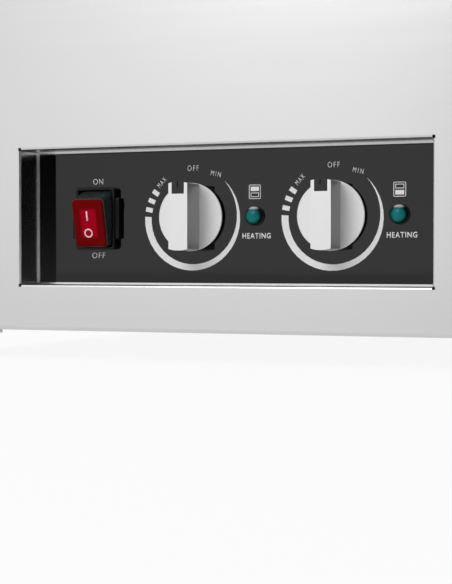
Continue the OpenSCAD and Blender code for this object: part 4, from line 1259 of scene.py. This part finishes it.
@dataclass
class Studio:
    """Camera, light and floor.

    Attributes:
        eye: Place of the camera.
        yaw: Turn of the view to the left, in degrees.
        pitch: Tilt of the view downwards, in degrees.
        lens_mm: Focal length.
        sensor_mm: Width of the sensor.
        sight: Nearest and farthest distance that the camera shows.
        floor_size: Side of the floor.
        side: Surrounding light, which falls off to the right, over directions along X.
        edge: Share of it that is left towards the far left, over directions along X.
        above: Light that is added from above, over directions along Z.
        haze: Least light that reflections show on the dim side, over directions along Z.
        key_eye: Place of the soft lamp.
        key_aim: Point that it faces.
        key_size: Width and height of the lamp.
        key_watt: Power of the lamp.
    """

    eye: tuple[float, float, float] = (316.8 * MM, -1064.6 * MM, 61.3 * MM)
    yaw: float = 21.29
    pitch: float = 1.24
    lens_mm: float = 115.2
    sensor_mm: float = 36.0
    sight: tuple[float, float] = (0.01, 50.0)
    floor_size: float = 12.0
    side: Fade = Fade(-0.28, 0.1, 1.1, 0.0)
    edge: Fade = Fade(-0.85, -0.3, 0.6, 1.0)
    above: Fade = Fade(0.35, 0.9, 0.0, 0.15)
    haze: Fade = Fade(0.14, 0.3, 0.0, 0.3)
    key_eye: tuple[float, float, float] = (-0.2, -1.45, 0.95)
    key_aim: tuple[float, float, float] = (0.0, -0.25, 0.09)
    key_size: tuple[float, float] = (0.9, 0.7)
    key_watt: float = 6.0

    def camera(self) -> None:
        """Makes the camera at the photograph's viewing angle."""
        data = bpy.data.cameras.new("photo_camera")
        data.sensor_fit = "HORIZONTAL"
        data.sensor_width = self.sensor_mm
        data.lens = self.lens_mm
        data.clip_start, data.clip_end = self.sight
        camera = show("photo_camera", data)
        camera.location = self.eye
        camera.rotation_euler = (math.radians(90 - self.pitch), 0.0, math.radians(self.yaw))
        bpy.context.scene.camera = camera

    def floor(self) -> None:
        """Makes the pale floor under the feet."""
        shape = bmesh.new()
        bmesh.ops.create_grid(shape, x_segments=1, y_segments=1, size=self.floor_size / 2)
        data = bpy.data.meshes.new("studio_floor")
        shape.to_mesh(data)
        shape.free()
        data.materials.append(FLOOR_PAPER.material())
        floor = show("studio_floor", data)

    def sky(self) -> None:
        """Makes the surrounding light: bright left, dim right, more from above, white to direct sight."""
        world = bpy.data.worlds.new("studio")
        bpy.context.scene.world = world
        world.use_nodes = True
        tree = world.node_tree
        tree.nodes.clear()
        way = add_node(tree, "ShaderNodeTexCoord").outputs["Generated"]
        part = add_node(tree, "ShaderNodeSeparateXYZ", links={"Vector": way}).outputs
        side, edge, above, haze = (
            add_node(tree, "ShaderNodeMapRange", fade.settings(), {"Value": part[axis]}).outputs["Result"]
            for fade, axis in ((self.side, "X"), (self.edge, "X"), (self.above, "Z"), (self.haze, "Z")))
        level = add_node(tree, "ShaderNodeMath", {"operation": "MULTIPLY_ADD"},
                         {0: side, 1: edge, 2: above}).outputs[0]
        path = add_node(tree, "ShaderNodeLightPath").outputs
        veil = add_node(tree, "ShaderNodeMath", {"operation": "MULTIPLY"},
                        {0: haze, 1: path["Is Glossy Ray"]}).outputs[0]
        lit = add_node(tree, "ShaderNodeMath", {"operation": "MAXIMUM"}, {0: level, 1: veil}).outputs[0]
        shown = add_node(tree, "ShaderNodeMix", {"data_type": "FLOAT", VALUE_2: 1.0},
                         {"Factor": path["Is Camera Ray"], VALUE_1: lit}).outputs[MIXED_VALUE]
        glow = add_node(tree, "ShaderNodeBackground", {"Color": WHITE}, {"Strength": shown})
        add_node(tree, "ShaderNodeOutputWorld", links={"Surface": glow.outputs["Background"]})

    def key(self) -> None:
        """Makes the soft lamp in front, above the camera."""
        data = bpy.data.lights.new("soft_lamp", "AREA")
        data.shape = "RECTANGLE"
        data.size, data.size_y = self.key_size
        data.energy = self.key_watt
        lamp = show("soft_lamp", data)
        lamp.location = self.key_eye
        aim = Vector(self.key_aim) - Vector(self.key_eye)
        lamp.rotation_euler = aim.to_track_quat("-Z", "Y").to_euler()

    def build(self) -> None:
        """Sets up the whole studio."""
        self.camera()
        self.floor()
        self.sky()
        self.key()
        bpy.context.scene.view_settings.view_transform = "Standard"


def main() -> None:
    """Builds the studio and every sub-assembly in order."""
    logging.basicConfig(level=logging.INFO, format="%(message)s")
    for assembly in (Studio(), SteelBody(), Innards(), ControlPlate(), *map(Knob, Side), RockerSwitch(),
                     Lamps(), *map(Well, Zone), DrainAndSupply()):
        assembly.build()
        LOG.info("%s done", type(assembly).__name__)


if __name__ == "__main__":
    main()
